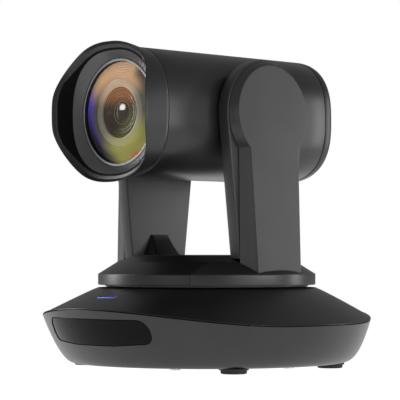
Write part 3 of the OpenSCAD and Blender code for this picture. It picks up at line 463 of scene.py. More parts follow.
sheet_steel = metal("sheet_steel", (0.46, 0.47, 0.48), 0.38, (1, 0.06, 1))
plated_steel = metal("plated_steel", (0.70, 0.70, 0.71), 0.2, (1, 1, 0.3), 0.4, 0.002)
cast_metal = metal("cast_metal", (0.50, 0.51, 0.52), 0.46, (1, 1, 1), 0.7, 0.02)
turned_brass = metal("turned_brass", (0.64, 0.46, 0.17), 0.26, (0.3, 0.3, 3))
gold_plate = metal("gold_plate", (0.86, 0.62, 0.22), 0.2, (1, 0.2, 1), 0.3, 0.001)
motor_coat = moulded("motor_coat", (0.03, 0.03, 0.034), rough=0.36, grain_mm=0.6, depth_mm=0.02)
white_dial = moulded("white_dial", (0.72, 0.72, 0.70), rough=0.4, grain_mm=0.4)

# %% [markdown]
# Circuit board. Under green lacquer the copper tracks show as slightly lighter, raised
# lines. A brick pattern gives short runs of track and a second, turned one crosses it.

# %% Circuit board
def circuit(name):
    """Green lacquered board with copper tracks under the lacquer."""
    recipe = Recipe(name, coat_roughness=0.1)
    runs = []
    for spin, size in ((0.0, 2.2), (pi / 2, 3.1)):
        turn = recipe.add("ShaderNodeMapping", {}, {"Vector": recipe.place, "Rotation": (0, 0, spin)})
        sockets = {"Vector": turn, "Scale": 1 / (size * MM), "Mortar Size": 0.09, "Brick Width": 3.4}
        runs.append(recipe.add("ShaderNodeTexBrick", {}, sockets, "Fac"))
    tracks = runs[0].maths("MAXIMUM", runs[0], runs[1])
    patch = recipe.noise(7.0, 2.0).between(0.44, 0.56)
    copper = tracks * patch
    recipe.feed(Base_Color=recipe.mix(copper, (0.006, 0.075, 0.03), (0.03, 0.19, 0.075)))
    recipe.feed(Roughness=0.3 + copper * 0.12)
    recipe.bump(copper, 0.03, 0.8)
    return recipe.material


board_lacquer = circuit("board_lacquer")

# %% [markdown]
# The status light is a clear bar lit from below. It glows strongest in the middle,
# above its lamp, and fades to the ends, where the plastic's own blue takes over.

# %% Status light
def glowing(name, colour, centre, half_length, unlit=(0.004, 0.012, 0.11)):
    """A lit bar of clear plastic, brightest over its lamp."""
    recipe = Recipe(name, emission_strength=0.9, coat_weight=0.6)
    gap = recipe.add("ShaderNodeVectorMath", {"operation": "DISTANCE"},
                     {0: recipe.place, 1: [c * MM for c in centre]}, "Value")
    lamp = 1.0 - (gap / (half_length * MM)).between(0.1, 1.1)
    cloud = recipe.noise(1.2, 2.0)
    glow = lamp * (0.75 + cloud * 0.5)
    recipe.feed(Emission_Color=recipe.mix(glow, unlit, colour))
    dim, clear = (tuple(c * share + 0.01 for c in colour) for share in (0.4, 0.6))
    recipe.feed(Base_Color=recipe.mix(cloud, dim, clear))
    recipe.feed(Roughness=0.25 + cloud * 0.1)
    return recipe.material


light_bar = Span("status_light_pipe")
light_centre = [0, (light_bar.y0 + light_bar.y1) / 2, light_bar.z1]
blue_glow = glowing("blue_glow", (0.05, 0.16, 1.0), light_centre, light_bar.x1)
green_lamp = glowing("green_lamp", (0.05, 0.5, 0.08), [0, 0, 0], 200)
amber_lamp = glowing("amber_lamp", (0.75, 0.30, 0.03), [0, 0, 0], 200, (0.10, 0.05, 0.01))

# %% [markdown]
# The bowl. The lower half of the base is one deep moulding. Its plan is round, its
# wall bulges outward and flattens towards the front, and its upper edge rises in a
# soft wave at the front and the back. A subdivision surface would need its wave and
# bulge tuned by hand, but both follow a rule, so rings of points computed from the
# rule give the exact shape. Rings lie closer together near the floor, where it curves
# most, and the last ones turn over the edge in a small radius.

# %% Bowl
floor_radius = 70.0
seam_side = slope.z0 - 0.1
front_rise = bowl.z1 - seam_side
rear_rise = 5.6
seam_half_angle = radians(75)
shell_wall = 2.5
edge_radius = 0.55
around = 288


def swell(angle):
    """How far the parting line rises, as a share, at an angle from a high point."""
    return (1 + cos(pi * angle / seam_half_angle)) / 2 if angle < seam_half_angle else 0.0


def seam_height(a):
    """Height of the parting line at an angle from +X."""
    from_front = acos(max(-1.0, min(1.0, -sin(a))))
    return seam_side + front_rise * swell(from_front) + rear_rise * swell(pi - from_front)


def bowl_point(a, t, inset=0.0, drop=0.0):
    """A point on the bowl's wall, where t runs from the floor to the parting line."""
    r = floor_radius + (bowl.x1 - floor_radius) * t ** (0.5 - 0.15 * sin(a)) - inset
    z = bowl.z0 + (seam_height(a) - bowl.z0) * t - drop
    return (r * cos(a), r * sin(a), z)


angles = [2 * pi * i / around for i in range(around)]


def circle(radius, z):
    """A level ring about the pan axis."""
    return [(radius * cos(a), radius * sin(a), z) for a in angles]


rows = 26
inner_rows = 8
top_t = 0.985
rings = [[bowl_point(a, top_t * (i / rows) ** 2) for a in angles] for i in range(rows + 1)]
for rise, left in quarter(4, 1):
    rings.append([bowl_point(a, 1, edge_radius * (1 - left), edge_radius * (1 - rise)) for a in angles])
for i in range(inner_rows + 1):
    rings.append([bowl_point(a, 1 - 0.9 * (i / inner_rows), shell_wall) for a in angles])
inner_floor = bowl.z0 + 2.0
hole_radius = floor_radius - 14
rings += [circle(floor_radius - 1, inner_floor), circle(hole_radius, inner_floor),
          circle(hole_radius, bowl.z0)]
bowl_shell = skin("bowl_shell", rings, loop=True)
print("bowl:", len(bowl_shell.data.vertices), "points")

# %% [markdown]
# Two openings are cut into the bowl: the wide window at the front and the recess for
# the sockets at the back. Boolean cuts leave exact edges, which is how the tool in the
# mould would leave them. The window's outline is a rounded bar with a sagging middle.

# %% Openings in the bowl
window = Span("ir_window")
window_gap = 0.2
window_corner = 5.5
window_low_rise = 1.6


def window_outline(grow=0.0):
    """The window's outline seen from the front, as points of width and height."""
    half = window.x1 + grow
    low, high = window.z0 - grow, window.z1 + grow
    corner = window_corner + grow
    third = half / 3 + corner * 0.35
    corners = [(half, high, corner), (-half, high, corner), (-half, low + window_low_rise, corner * 0.9),
               (-third, low, 9.0), (third, low, 9.0), (half, low + window_low_rise, corner * 0.9)]
    return evenly(rounded(corners, 10), 1.2)


def front_block(name, grow, y0, y1):
    """The window's outline as a block between two distances."""
    shape = window_outline(grow)
    return skin(name, [[(p.x, y, p.y) for p in shape] for y in (y0, y1)])


inside_wall, outside_wall = 60, 100
carve(bowl_shell, front_block("window_cut", window_gap, -inside_wall, -outside_wall))
bay = Span("connector_bay")
bay_play, bay_front = 0.25, 40
carve(bowl_shell, block("bay_cut", (bay.x0 - bay_play, bay.x1 + bay_play), (bay_front, outside_wall),
                        (bay.z0 - bay_play, bay.z1 + bay_play)))
screw_circle, screw_clear = 58, 1.6
for i in range(6):
    x, y = screw_circle * cos(i * pi / 3), screw_circle * sin(i * pi / 3)
    hole = [[(x + screw_clear * cos(k * pi / 12), y + screw_clear * sin(k * pi / 12), z)
             for k in range(24)] for z in (0, 8)]
    carve(bowl_shell, skin("screw_cut", hole))
soften(bowl_shell, 30)
stand_in(bowl_shell, shell_plastic, "base", "shell_black", "lower_shell")

# %% [markdown]
# The sloping cover closes the bowl. It is a shallow cone that is slightly hollow, flat
# in the middle where the turntable stands over it, and wavy at its rim, because its
# rim follows the bowl's. A hair of shadow between the two edges makes the parting line.

# %% Sloping cover
side_cover = Span("turntable_side_right")
neck_radius = side_cover.x1
seam_gap = 0.24
slope_power = 1.1


def slope_point(a, u, inset=0.0, drop=0.0, thick=0.0):
    """A point on the cover, where u runs from the turntable out to the parting line."""
    r = neck_radius + (bowl.x1 - neck_radius) * u - inset
    top = slope.z1 - thick
    z = top - (top - seam_height(a) - seam_gap) * u ** slope_power + drop
    return (r * cos(a), r * sin(a), z)


hub_opening = 23.0
flat_radius = 50
rings = [circle(hub_opening, slope.z1), circle(flat_radius, slope.z1)]
rings += [[slope_point(a, 0.975 * i / 16) for a in angles] for i in range(17)]
for rise, left in quarter(4, 1):
    rings.append([slope_point(a, 1, edge_radius * (1 - rise), edge_radius * left) for a in angles])
rings += [[slope_point(a, 1 - i / 6, shell_wall, 0, shell_wall) for a in angles] for i in range(7)]
rings.append(circle(hub_opening, slope.z1 - shell_wall))
slope_cover = skin("slope_cover", rings, loop=True)
light_y = light_centre[1]
light_half = light_bar.x1


def pill(half, radius):
    """A bar's outline with round ends, about the origin."""
    end = radius * 0.999
    return rounded([(half, radius, end), (-half, radius, end), (-half, -radius, end),
                    (half, -radius, end)], 8)


light_width = (light_bar.y1 - light_bar.y0) / 2
light_play = 0.15
slot = pill(light_half + light_play, light_width + light_play)
carve(slope_cover, skin("light_cut", [[(p.x, light_y + p.y, z) for p in slot] for z in (20, 60)]))
soften(slope_cover, 30)
# the cover's darker grey is painted shade
stand_in(slope_cover, cover_painted_shade, "base", "shell_black", "base_top_cover")

# %% [markdown]
# The window itself is a curved pane that sits a hair behind the bowl's surface. Its
# face is drawn as outlines that shrink towards the middle, each laid on the bowl's own
# curve, so the reflections run over it without a facet.

# %% Window pane
window_sink = 0.35


def bowl_depth(x, z, back):
    """Where the bowl's front wall is at a width and height, moved back by a distance."""
    r = bowl.x1
    for _ in range(5):
        a = asin(x / r) - pi / 2
        t = (z - bowl.z0) / (seam_height(a) - bowl.z0)
        r = hypot(*bowl_point(a, t)[:2])
    r -= back
    return -sqrt(r * r - x * x)


outline = window_outline(-0.02)
middle = Vector(((window.x0 + window.x1) / 2, (window.z0 + window.z1) / 2))


def pane_ring(shrink, back):
    """The pane's outline, shrunk towards its middle and laid behind the bowl's surface."""
    spots = [middle + (p - middle) * shrink for p in outline]
    return [(p.x, bowl_depth(p.x, p.y, window_sink + back), p.y) for p in spots]


rings = [pane_ring(shrink, back) for shrink, back in
         ((1.0, 2.0), (1.0, 0.3), (0.998, 0.13), (0.993, 0.03), (0.985, 0.0))]
rings += [pane_ring(0.985 * (1 - i / 12), 0.0) for i in range(1, 13)]
window_pane = skin("window_pane", rings)
soften(window_pane, 40)
stand_in(window_pane, window_plastic, "base", "gloss_black", "ir_window")

# %% [markdown]
# The light bar stands in its slot in the cover, with a domed top.

# %% Light bar
bar_outline = pill(light_half, light_width)
crown_inset, crown_rise = 0.55, 0.45
rings = [[(p.x, light_y + p.y, light_bar.z0) for p in bar_outline]]
for rise, left in quarter(6):
    squeeze = crown_inset * (1 - left)
    rings.append([(p.x * (1 - squeeze / light_half), light_y + p.y * (1 - squeeze / light_width),
                   light_bar.z1 - crown_rise + crown_rise * rise) for p in bar_outline])
light_piece = soften(skin("status_light", rings), 60)
stand_in(light_piece, blue_glow, "base", "blue_light", "status_light_pipe")

# %% [markdown]
# Four rubber feet. They repeat, so Geometry Nodes put one turned foot on each of four
# points. The tree takes the foot as an object and the spacing as numbers, copies it,
# makes the copies real and gives them their finish. A helper builds such a tree, and
# it serves the contacts and the screws at the rear too.

# %% Repeats with Geometry Nodes
def repeated(name, pattern, places, material):
    """Copies one small mesh to many places: each is a point and its turns about X, Y and Z."""
    tree = bpy.data.node_groups.new(name + "_tree", "GeometryNodeTree")
    tree.interface.new_socket("Points", in_out="INPUT", socket_type="NodeSocketGeometry")
    shape = tree.interface.new_socket("Shape", in_out="INPUT", socket_type="NodeSocketObject")
    size = tree.interface.new_socket("Size", in_out="INPUT", socket_type="NodeSocketFloat")
    tree.interface.new_socket("Mesh", in_out="OUTPUT", socket_type="NodeSocketGeometry")
    nodes, link = tree.nodes, tree.links.new
    start, end = nodes.new("NodeGroupInput"), nodes.new("NodeGroupOutput")
    info = nodes.new("GeometryNodeObjectInfo")
    spin = nodes.new("GeometryNodeInputNamedAttribute")
    spin.data_type = "FLOAT_VECTOR"
    spin.inputs["Name"].default_value = "turn"
    copies = nodes.new("GeometryNodeInstanceOnPoints")
    real = nodes.new("GeometryNodeRealizeInstances")
    painted = nodes.new("GeometryNodeSetMaterial")
    painted.inputs["Material"].default_value = material
    link(start.outputs["Points"], copies.inputs["Points"])
    link(start.outputs["Shape"], info.inputs["Object"])
    link(info.outputs["Geometry"], copies.inputs["Instance"])
    link(spin.outputs["Attribute"], copies.inputs["Rotation"])
    link(start.outputs["Size"], copies.inputs["Scale"])
    link(copies.outputs["Instances"], real.inputs["Geometry"])
    link(real.outputs["Geometry"], painted.inputs["Geometry"])
    link(painted.outputs["Geometry"], end.inputs["Mesh"])

    mesh = bpy.data.meshes.new(name)
    mesh.from_pydata([Vector(place) * MM for place, _ in places], [], [])
    turns = mesh.attributes.new("turn", "FLOAT_VECTOR", "POINT")
    turns.data.foreach_set("vector", [c for _, turn in places for c in turn])
    piece = bpy.data.objects.new(name, mesh)
    stage_scene.collection.objects.link(piece)
    maker = piece.modifiers.new("repeat", "NODES")
    maker.node_group = tree
    maker[shape.identifier] = pattern
    maker[size.identifier] = 1.0
    settle(piece)
    bpy.data.objects.remove(pattern)
    soften(piece, 35)
    print(name, "repeats", len(places), "times")
    return piece


feet = Span("rubber_feet")
foot_radius = 6.5
flange_radius = 7.4
foot_profile = rounded([(0, feet.z0, 0), (foot_radius - 0.5, feet.z0, 0), (foot_radius, feet.z0 + 0.5, 0.4),
                        (foot_radius, feet.z1 - 0.8, 0.2), (flange_radius, feet.z1 - 0.8, 0.25),
                        (flange_radius, feet.z1, 0), (0, feet.z1, 0)], 4)
foot_x, foot_y = feet.x1 - flange_radius, feet.y1 - flange_radius
foot_places = [((sx * foot_x, sy * foot_y, 0), (0, 0, 0)) for sx in (-1, 1) for sy in (-1, 1)]
foot_pieces = repeated("rubber_feet_set", turned("foot", foot_profile, 48), foot_places, foot_rubber)
stand_in(foot_pieces, foot_rubber, "base", "rubber", "rubber_feet")

# %% [markdown]
# The turntable. A thin ring turns just above the base, and a low dome stands on it: an
# upright rim, a steep band, a shallow band and a flat top. It is one turned profile,
# so it is spun like a lathe part. The real dome is three mouldings, a middle one and
# one under each arm, so the spun shell is sawn apart along two planes, with a hair of
# gap, and a pocket is cut where each arm passes through.

# %% Turntable ring and dome
ring_span = Span("turntable_frame")
table_radius = side_cover.x1
dome_top = side_cover.z1
rim_low = side_cover.z0
rim_high = rim_low + 5.6
dome_edge_radius = table_radius - 10.2
dome_edge_z = rim_high + 0.65 * 9.8
plateau_radius = table_radius - 17
cover_thick = 2.0

ring_profile = rounded([(10, ring_span.z0, 0), (ring_span.x1, ring_span.z0, 0.5),
                        (ring_span.x1, ring_span.z1, 0.3), (10, ring_span.z1, 0)])
table_ring = soften(turned("table_ring", ring_profile, 192))
# the ring's paler grey is painted light
stand_in(table_ring, ring_painted_light, "turntable", "plain_black", "turntable_frame")

dome_profile = rounded([
    (0.01, dome_top, 0), (plateau_radius - 2, dome_top - 0.02, 9),
    (dome_edge_radius, dome_edge_z, 1.2), (table_radius, rim_high, 0.7), (table_radius, rim_low, 0.45),
    (table_radius - cover_thick, rim_low, 0.2), (table_radius - cover_thick, rim_high - 0.6, 0),
    (dome_edge_radius - 1.4, dome_edge_z - 1.6, 0), (plateau_radius, dome_top - cover_thick, 0),
    (0.01, dome_top - cover_thick, 0)], 6)
arm_box = Span("arm_frame_right")
shell_box = Span("arm_shell_right")
split_x = shell_box.x1
pocket_gap = 0.28
foot_half = 19.0
stem_slope = 0.34
face_lean = tan(radians(3.2))
face_x = arm_box.x1 - (tilt_z - arm_box.z0) * face_lean


def arm_face(z):
    """Distance of an arm's outer face from the middle, at a height."""
    return face_x + (tilt_z - z) * face_lean


def arm_pocket(side):
    """The hole that an arm's foot needs in the dome."""
    near, far = side * (shell_box.x0 - pocket_gap), side * (arm_face(ring_span.z1) + pocket_gap)
    mid = side * split_x
    half = foot_half + pocket_gap
    tip = half - stem_slope * (abs(far) - split_x)
    plan = [(near, -half), (mid, -half), (far, -tip), (far, tip), (mid, half), (near, half)]
    return skin("pocket", [[(x, y, z) for x, y in plan] for z in (ring_span.z0, dome_top + 30)])


side_seam = barrel.x1 - 1.0
seam_hair = 0.2


def dome_part(name, x_low, x_high, sides):
    """One moulding of the dome: what lies between two planes."""
    part = turned(name, dome_profile, 256)
    carve(part, block("saw", (x_low, x_high), (-90, 90), (20, 100)), "INTERSECT")
    for side in sides:
        carve(part, arm_pocket(side))
    return part


# %% [markdown]
# Each arm's foot is steadied by a wedge that rises from the dome against its inner
# side. The wedge leans into the arm and its edges are rounded, so it is a small hull
# with a bevel, joined into the middle moulding.

# %% Wedges and the three dome mouldings
wedge_reach = 7.4
wedge_foot = 10.6
wedge_top = 6.3
wedge_rise = 11.3


def wedge(side):
    """The fairing between the dome and the inner side of an arm."""
    x0 = side * (shell_box.x0 - pocket_gap)
    rings = []
    for k in range(9):
        u = k / 8
        reach = wedge_reach * (1 - u) ** 1.25 + 0.7 * u
        half = wedge_foot + (wedge_top - wedge_foot) * u
        z = dome_top - 0.6 + wedge_rise * u
        tip, corner = half * 0.84, min(1.4, reach * 0.45)
        plan = rounded([(0, -half, 0), (reach, -tip, corner), (reach, tip, corner), (0, half, 0)], 4)
        rings.append([(x0 - side * p.x, p.y, z) for p in plan])
    return skin("wedge", rings)


dome_middle = dome_part("dome_middle", -side_seam, side_seam, (-1, 1))
for side in (-1, 1):
    carve(dome_middle, wedge(side), "UNION")
soften(dome_middle, 30)
# the middle moulding's darker grey is painted shade
stand_in(dome_middle, dome_painted_shade, "turntable", "shell_black", "turntable_cover")
for side, word in ((-1, "left"), (1, "right")):
    edges = sorted((side * (side_seam + seam_hair), side * 80))
    dome_side = soften(dome_part("dome_side_" + word, *edges, (side,)), 30)
    stand_in(dome_side, shell_plastic, "turntable", "shell_black", "turntable_side_" + word)

# %% [markdown]
# The arms. Each is two mouldings that meet at a flat split: an inner blade, broad and
# plain beside the head, and an outer half shaped like a keyhole. Both are lofted from
# an outline at the split to a smaller one at the face. The keyhole's outline is an arc
# for the head, a small hollow fillet where it meets the stem, and straight sides. The
# last few outlines step in along a quarter circle, which rounds the face's edge, and
# one more just inside it keeps the flat face's shading flat.

# %% Arm outlines
stem_neck = 19.8


def arc_points(centre, radius, first, last, steps):
    """Points on an arc in the plane of an arm, as depth and height."""
    return [(centre[0] + radius * cos(first + (last - first) * k / steps),
             centre[1] + radius * sin(first + (last - first) * k / steps)) for k in range(steps + 1)]


def keyhole(head, neck, foot, low, fillet):
    """Outline of an arm's outer half, anticlockwise from the foot's near corner."""
    centre = (0.0, tilt_z)
    blend_y = neck + fillet
    blend_z = tilt_z - sqrt((head + fillet) ** 2 - blend_y ** 2)
    lift = atan2(blend_z - tilt_z, blend_y)
    inward = atan2(tilt_z - blend_z, -blend_y)
    right = arc_points((blend_y, blend_z), fillet, pi, inward, 6)
    top = arc_points(centre, head, lift, pi - lift, 72)
    left = [(-y, z) for y, z in reversed(right)]
    stem = [(foot + (neck - foot) * k / 6, low + (blend_z - low) * k / 6) for k in range(6)]
    return stem + right + top[1:-1] + left + [(-y, z) for y, z in reversed(stem)]


def blade_outline(head, foot, low):
    """Outline of an arm's inner half: a round head that narrows straight to the foot."""
    gap = tilt_z - low
    reach = hypot(gap, foot)
    lean = atan2(foot, gap)
    touch = acos(head / reach) + lean
    top = arc_points((0.0, tilt_z), head, -pi / 2 + touch, 3 * pi / 2 - touch, 80)
    stem = [(foot + (top[0][0] - foot) * k / 8, low + (top[0][1] - low) * k / 8) for k in range(8)]
    return stem + top + [(-y, z) for y, z in reversed(stem)]


head_at_split = 26.6
head_at_face = 25.0
face_round = 0.7
split_round = 0.35
split_hair = 0.05
blade_round = 0.5
arm_foot = ring_span.z1 + 0.3


def arm_outer(side, name):
    """The outer half of an arm, as a solid from the split to the leaning face."""
    stations = [(0.0, 0.0, split_round), (0.0, split_round, 0.0)]
    stations += [(0.25 * k, 0.0, 0.0) for k in (1, 2, 3)]
    stations += [(1.0, -face_round * (1 - rise), face_round * (1 - left)) for rise, left in quarter(5)]
    stations.append((1.0, 0.0, face_round + 0.35))
    made = []
    for share, lift, inset in stations:
        # the section narrows from the split to the face
        head = head_at_split + (head_at_face - head_at_split) * share - inset
        neck = stem_neck - inset - stem_slope * share * (arm_face(tilt_z - head) - split_x)
        foot = foot_half - inset - stem_slope * share * (arm_face(arm_foot) - split_x)
        shape = keyhole(head, neck, foot, arm_foot + inset * 0.2, 1.6)
        ring = []
        for y, z in shape:
            depth = arm_face(z) - split_x
            out = split_x + split_hair + (depth - split_hair) * share + lift
            ring.append((side * out, y, z))
        made.append(ring)
    return skin(name, made)


def arm_inner(side, name):
    """The inner half of an arm, beside the head."""
    head = shell_box.z1 - tilt_z
    wide = shell_box.x1 - shell_box.x0
    near = [(blade_round * (1 - rise), blade_round * (1 - left)) for rise, left in quarter(4)]
    far = [(wide - x, inset) for x, inset in near]
    made = []
    for x, inset in [(0.0, 0.9)] + near[::-1] + far + [(wide, 0.9)]:
        outline = blade_outline(head - inset, foot_half - inset, shell_box.z0)
        made.append([(side * (shell_box.x0 + x), y, z) for y, z in outline])
    return skin(name, made)


# %% [markdown]
# Both arms are made by the same two functions, mirrored by a sign. The right arm is the
# one that carries the tilt motor.

# %% Arms
for side, word in ((-1, "left"), (1, "right")):
    inner = soften(arm_inner(side, "arm_inner_" + word), 28)
    stand_in(inner, arm_plastic, "turntable", "arm_grey", "arm_shell_" + word)
    outer = soften(arm_outer(side, "arm_outer_" + word), 28)
    stand_in(outer, arm_plastic, "turntable", "arm_grey", "arm_frame_" + word)

# %% [markdown]
# The head. Its section is a superellipse: an ellipse pressed towards a rectangle, so
# the sides are flat enough to pass between the arms and the corners stay full. One
# function gives that outline for any width, height and squareness. The barrel, its
# rear cap, the hood and the bezel are all lofted through such outlines, each set at
# its own depth, so they always meet.

# %% Head outlines
head_steps = 224
half_wide = barrel.x1
half_high = (barrel.z1 - barrel.z0) / 2
barrel_square = 2.7


def bend(value, exponent):
    """A power that keeps the sign."""
    return (1 if value >= 0 else -1) * abs(value) ** exponent


def head_outline(wide, high, square, depth=0.0):
    """Ring of points round the head; depth may be a number or a rule of height."""
    ring = []
    for i in range(head_steps):
        a = 2 * pi * (i + 0.5) / head_steps
        z = high * bend(sin(a), 2 / square)
        y = depth(z) if callable(depth) else depth
        ring.append((wide * bend(cos(a), 2 / square), y, tilt_z + z))
    return ring


def barrel_ring(inset, y):
    return head_outline(half_wide - inset, half_high - inset, barrel_square, y)


# %% [markdown]
# The barrel is a plain tube with softly rounded ends. The rounding at each end is what
# makes the fine dark lines where it meets the hood and the rear cap.

# %% Barrel and rear cap
end_round = 0.35
ends = [(end_round * (1 - rise), end_round * (1 - left)) for rise, left in quarter(3)]
rings = [barrel_ring(inset, barrel.y0 + step) for inset, step in ends]
rings += [barrel_ring(0, barrel.y0 + (barrel.y1 - barrel.y0) * k / 10) for k in range(1, 10)]
rings += [barrel_ring(inset, barrel.y1 - step) for inset, step in reversed(ends)]
rings += [barrel_ring(2.2, barrel.y1), barrel_ring(2.2, barrel.y0)]
barrel_tube = soften(skin("barrel_tube", rings, loop=True), 35)
stand_in(barrel_tube, shell_plastic, "head", "shell_black", "head_barrel")

cap = Span("rear_cap")
cap_round = 4.6
rings = [barrel_ring(2.6, cap.y0), barrel_ring(end_round, cap.y0 + 0.05),
         barrel_ring(0.1, cap.y0 + 0.15), barrel_ring(0, cap.y0 + end_round),
         barrel_ring(0, (cap.y0 + cap.y1 - cap_round) / 2)]
for rise, left in quarter(12):
    rings.append(barrel_ring(cap_round * (1 - left), cap.y1 - cap_round + cap_round * rise))
for k in range(1, 14):
    rings.append(barrel_ring(cap_round + (half_high - cap_round) * k / 14, cap.y1))
rear_cap = soften(skin("rear_cap_shell", rings), 35)
stand_in(rear_cap, hood_plastic, "head", "shell_black", "rear_cap")

# %% [markdown]
# The hood shades the lens. Its rim isn't flat: it reaches further forward at both
# sides and falls back in the middle of the top and the foot, where a soft step joins
# the two. So the rim's depth is a rule of height. The rim's two edges are rounded, the
# outer one more, and the wall behind them runs back to the bezel.

# %% Hood
hood = Span("front_hood")
rim_wide = half_wide + 0.4
rim_high_half = half_high + 2.4
rim_square = 2.35
rim_back = barrel.y0 - 9.0
rim_lobe = -(hood.y0 - rim_back)
lobe_low, lobe_high = 6.0, 31.0
lip_side, lip_top, lip_slope = 1.9, 1.3, 1.9
bezel = Span("front_bezel")
bezel_wide, bezel_high, bezel_square = bezel.x1, (bezel.z1 - bezel.z0) / 2, 2.4


def rim_depth(offset):
    """The rim's depth as a rule of height, moved back by an offset."""
    lobe = lobe_high - lobe_low
    return lambda z: rim_back + offset - rim_lobe * smooth_step((lobe_high - abs(z)) / lobe)


def hood_ring(share, inset_side, inset_top, depth):
    """An outline between the barrel's and the rim's."""
    wide = half_wide + (rim_wide - half_wide) * share - inset_side
    high = half_high + (rim_high_half - half_high) * share - inset_top
    return head_outline(wide, high, barrel_square + (rim_square - barrel_square) * share, depth)


outer_round = 0.3
rings = [hood_ring(0, inset, inset, hood.y1 - step)
         for inset, step in ((2.0, 0), (0.35, 0), (0.1, 0.12), (0, 0.4))]
wall_steps = 10
for k in range(1, wall_steps + 1):
    share = k / wall_steps
    start = hood.y1 - 0.4
    rule = rim_depth(outer_round)
    rings.append(hood_ring(smooth_step(share) * 0.5 + share * 0.5, 0, 0,
                           lambda z, s=share: start + (rule(z) - start) * s))
for rise, left in quarter(5, 1):
    inset = outer_round * (1 - left)
    rings.append(hood_ring(1, inset, inset, rim_depth(outer_round * (1 - rise))))
for k in range(1, 7):
    share = k / 6
    side, top = (outer_round + (lip - outer_round) * share for lip in (lip_side, lip_top))
    rings.append(hood_ring(1, side, top, rim_depth(lip_slope * share)))
inner_wide, inner_high = bezel_wide + 0.15, bezel_high + 0.15


def throat_ring(u, inset=0.0, front_play=0.0, back_play=0.0):
    """An outline of the hood's inner wall, u of the way back to the bezel, moved inward."""
    wide = rim_wide - lip_side + (inner_wide - rim_wide + lip_side) * u - inset
    high = rim_high_half - lip_top + (inner_high - rim_high_half + lip_top) * u - inset
    rule = rim_depth(lip_slope + front_play)
    return head_outline(wide, high, rim_square + (bezel_square - rim_square) * u,
                        lambda z: rule(z) + (bezel.y0 - back_play - rule(z)) * u)


rings += [throat_ring(k / 7) for k in range(1, 8)]
rings.append(head_outline(inner_wide, inner_high, bezel_square, hood.y1))
hood_shell = soften(skin("hood_shell", rings, loop=True), 40)
stand_in(hood_shell, hood_plastic, "head", "shell_black", "front_hood")

# painted shade: a near-black sheet laid over the hood's inner wall, where the wall is in shade
liner_thick, liner_bed = 0.12, 0.3
rings = [throat_ring(k / 7, liner_thick, 0.25, 0.05) for k in range(8)]
rings += [throat_ring(k / 7, -liner_bed, 0.25, 0.05) for k in range(7, -1, -1)]
hood_liner = soften(skin("hood_liner", rings, loop=True), 40)
stand_in(hood_liner, painted_shade_lining, "head", "plain_black")

# %% [markdown]
# The bezel is the sloping frame between the hood and the round lens. It changes from
# the hood's outline to a circle, so each of its outlines is a blend of the two. It has
# a small raised bead round the lens.

# %% Bezel
lens_ring = Span("lens_ring")
lens_radius = lens_ring.x1 + 0.08


def bezel_ring(u, depth, grow=0.0):
    """An outline that goes from the hood's inside, 0, to the lens's circle, 1."""
    wide = bezel_wide + (lens_radius - bezel_wide) * u + grow
    high = bezel_high + (lens_radius - bezel_high) * u + grow
    return head_outline(wide, high, bezel_square + (2 - bezel_square) * u, depth)


bezel_inner = lens_ring.y0 + 0.2
rings = [bezel_ring(0, bezel.y0 + 3.4), bezel_ring(0, bezel.y0 + 0.3), bezel_ring(0.03, bezel.y0 + 0.08)]
for k in range(1, 9):
    u = 0.03 + 0.92 * k / 8
    rings.append(bezel_ring(u, bezel.y0 + 0.08 + (bezel_inner - bezel.y0 - 0.08) * u ** 1.15))
rings += [bezel_ring(1, bezel_inner + 0.25), bezel_ring(1, bezel_inner + 2.2)]
bezel_frame = soften(skin("bezel_frame", rings, loop=True), 35)
# the bezel's paler grey is painted light
stand_in(bezel_frame, bezel_painted_light, "head", "shell_black", "front_bezel")

# %% [markdown]
# The lens. What gives a lens its depth is a stack of things seen through each other: a
# thin bright ring at the edge, a black gap, a ribbed cone that swallows stray light, an
# inner element with its own reflections, and a clear dome in front. Anti-reflection
# coatings tint what they mirror, violet on one side and amber on the other. These coloured
# reflections are painted on the cone and the inner element by angle and radius, as painted
# reflections with painted shade between them. They are fixed to the part, so they turn
# with the head and don't depend on where the viewer stands. The cone's painted colours
# also glow a little, and the inner element carries a painted highlight.

# %% Parts turned about the lens axis
def turned_lens(name, profile, steps=160, loop=True, x=0.0, z=tilt_z):
    """A lathe part about the lens axis or one beside it, from a profile of radius and depth."""
    turns = [2 * pi * i / steps for i in range(steps)]
    rings = [[(x + r * cos(turn), y, z + r * sin(turn)) for turn in turns] for r, y in profile]
    return skin(name, rings, loop=loop)


def around_lens(recipe):
    """Radius in millimetres, and sideways and upward shares, about the lens axis."""
    split = recipe.add("ShaderNodeSeparateXYZ", {}, {0: recipe.place})
    x = Flow(recipe, split.socket.node.outputs["X"]) / MM
    z = (Flow(recipe, split.socket.node.outputs["Z"]) - tilt_z * MM) / MM
    radius = ((x * x) + (z * z)) ** 0.5 + 0.001
    return radius, x / radius, z / radius


glass = Span("front_glass")
baffle = Span("lens_baffle")
glass_thick = 0.4
glass_edge_y = glass.y1 - 1.6
ring_in, ring_out = lens_ring.x1 - 1.4, lens_ring.x1
rim_profile = rounded([(ring_out, lens_ring.y1, 0), (ring_out, lens_ring.y0, 0.3),
                       (ring_in + 0.15, lens_ring.y0, 0.25), (ring_in, lens_ring.y1 - 1.6, 0),
                       (ring_in - 1.5, lens_ring.y1 - 1.6, 0.1), (ring_in - 1.5, lens_ring.y1, 0)], 5)
lens_rim = soften(turned_lens("lens_rim", rim_profile), 40)


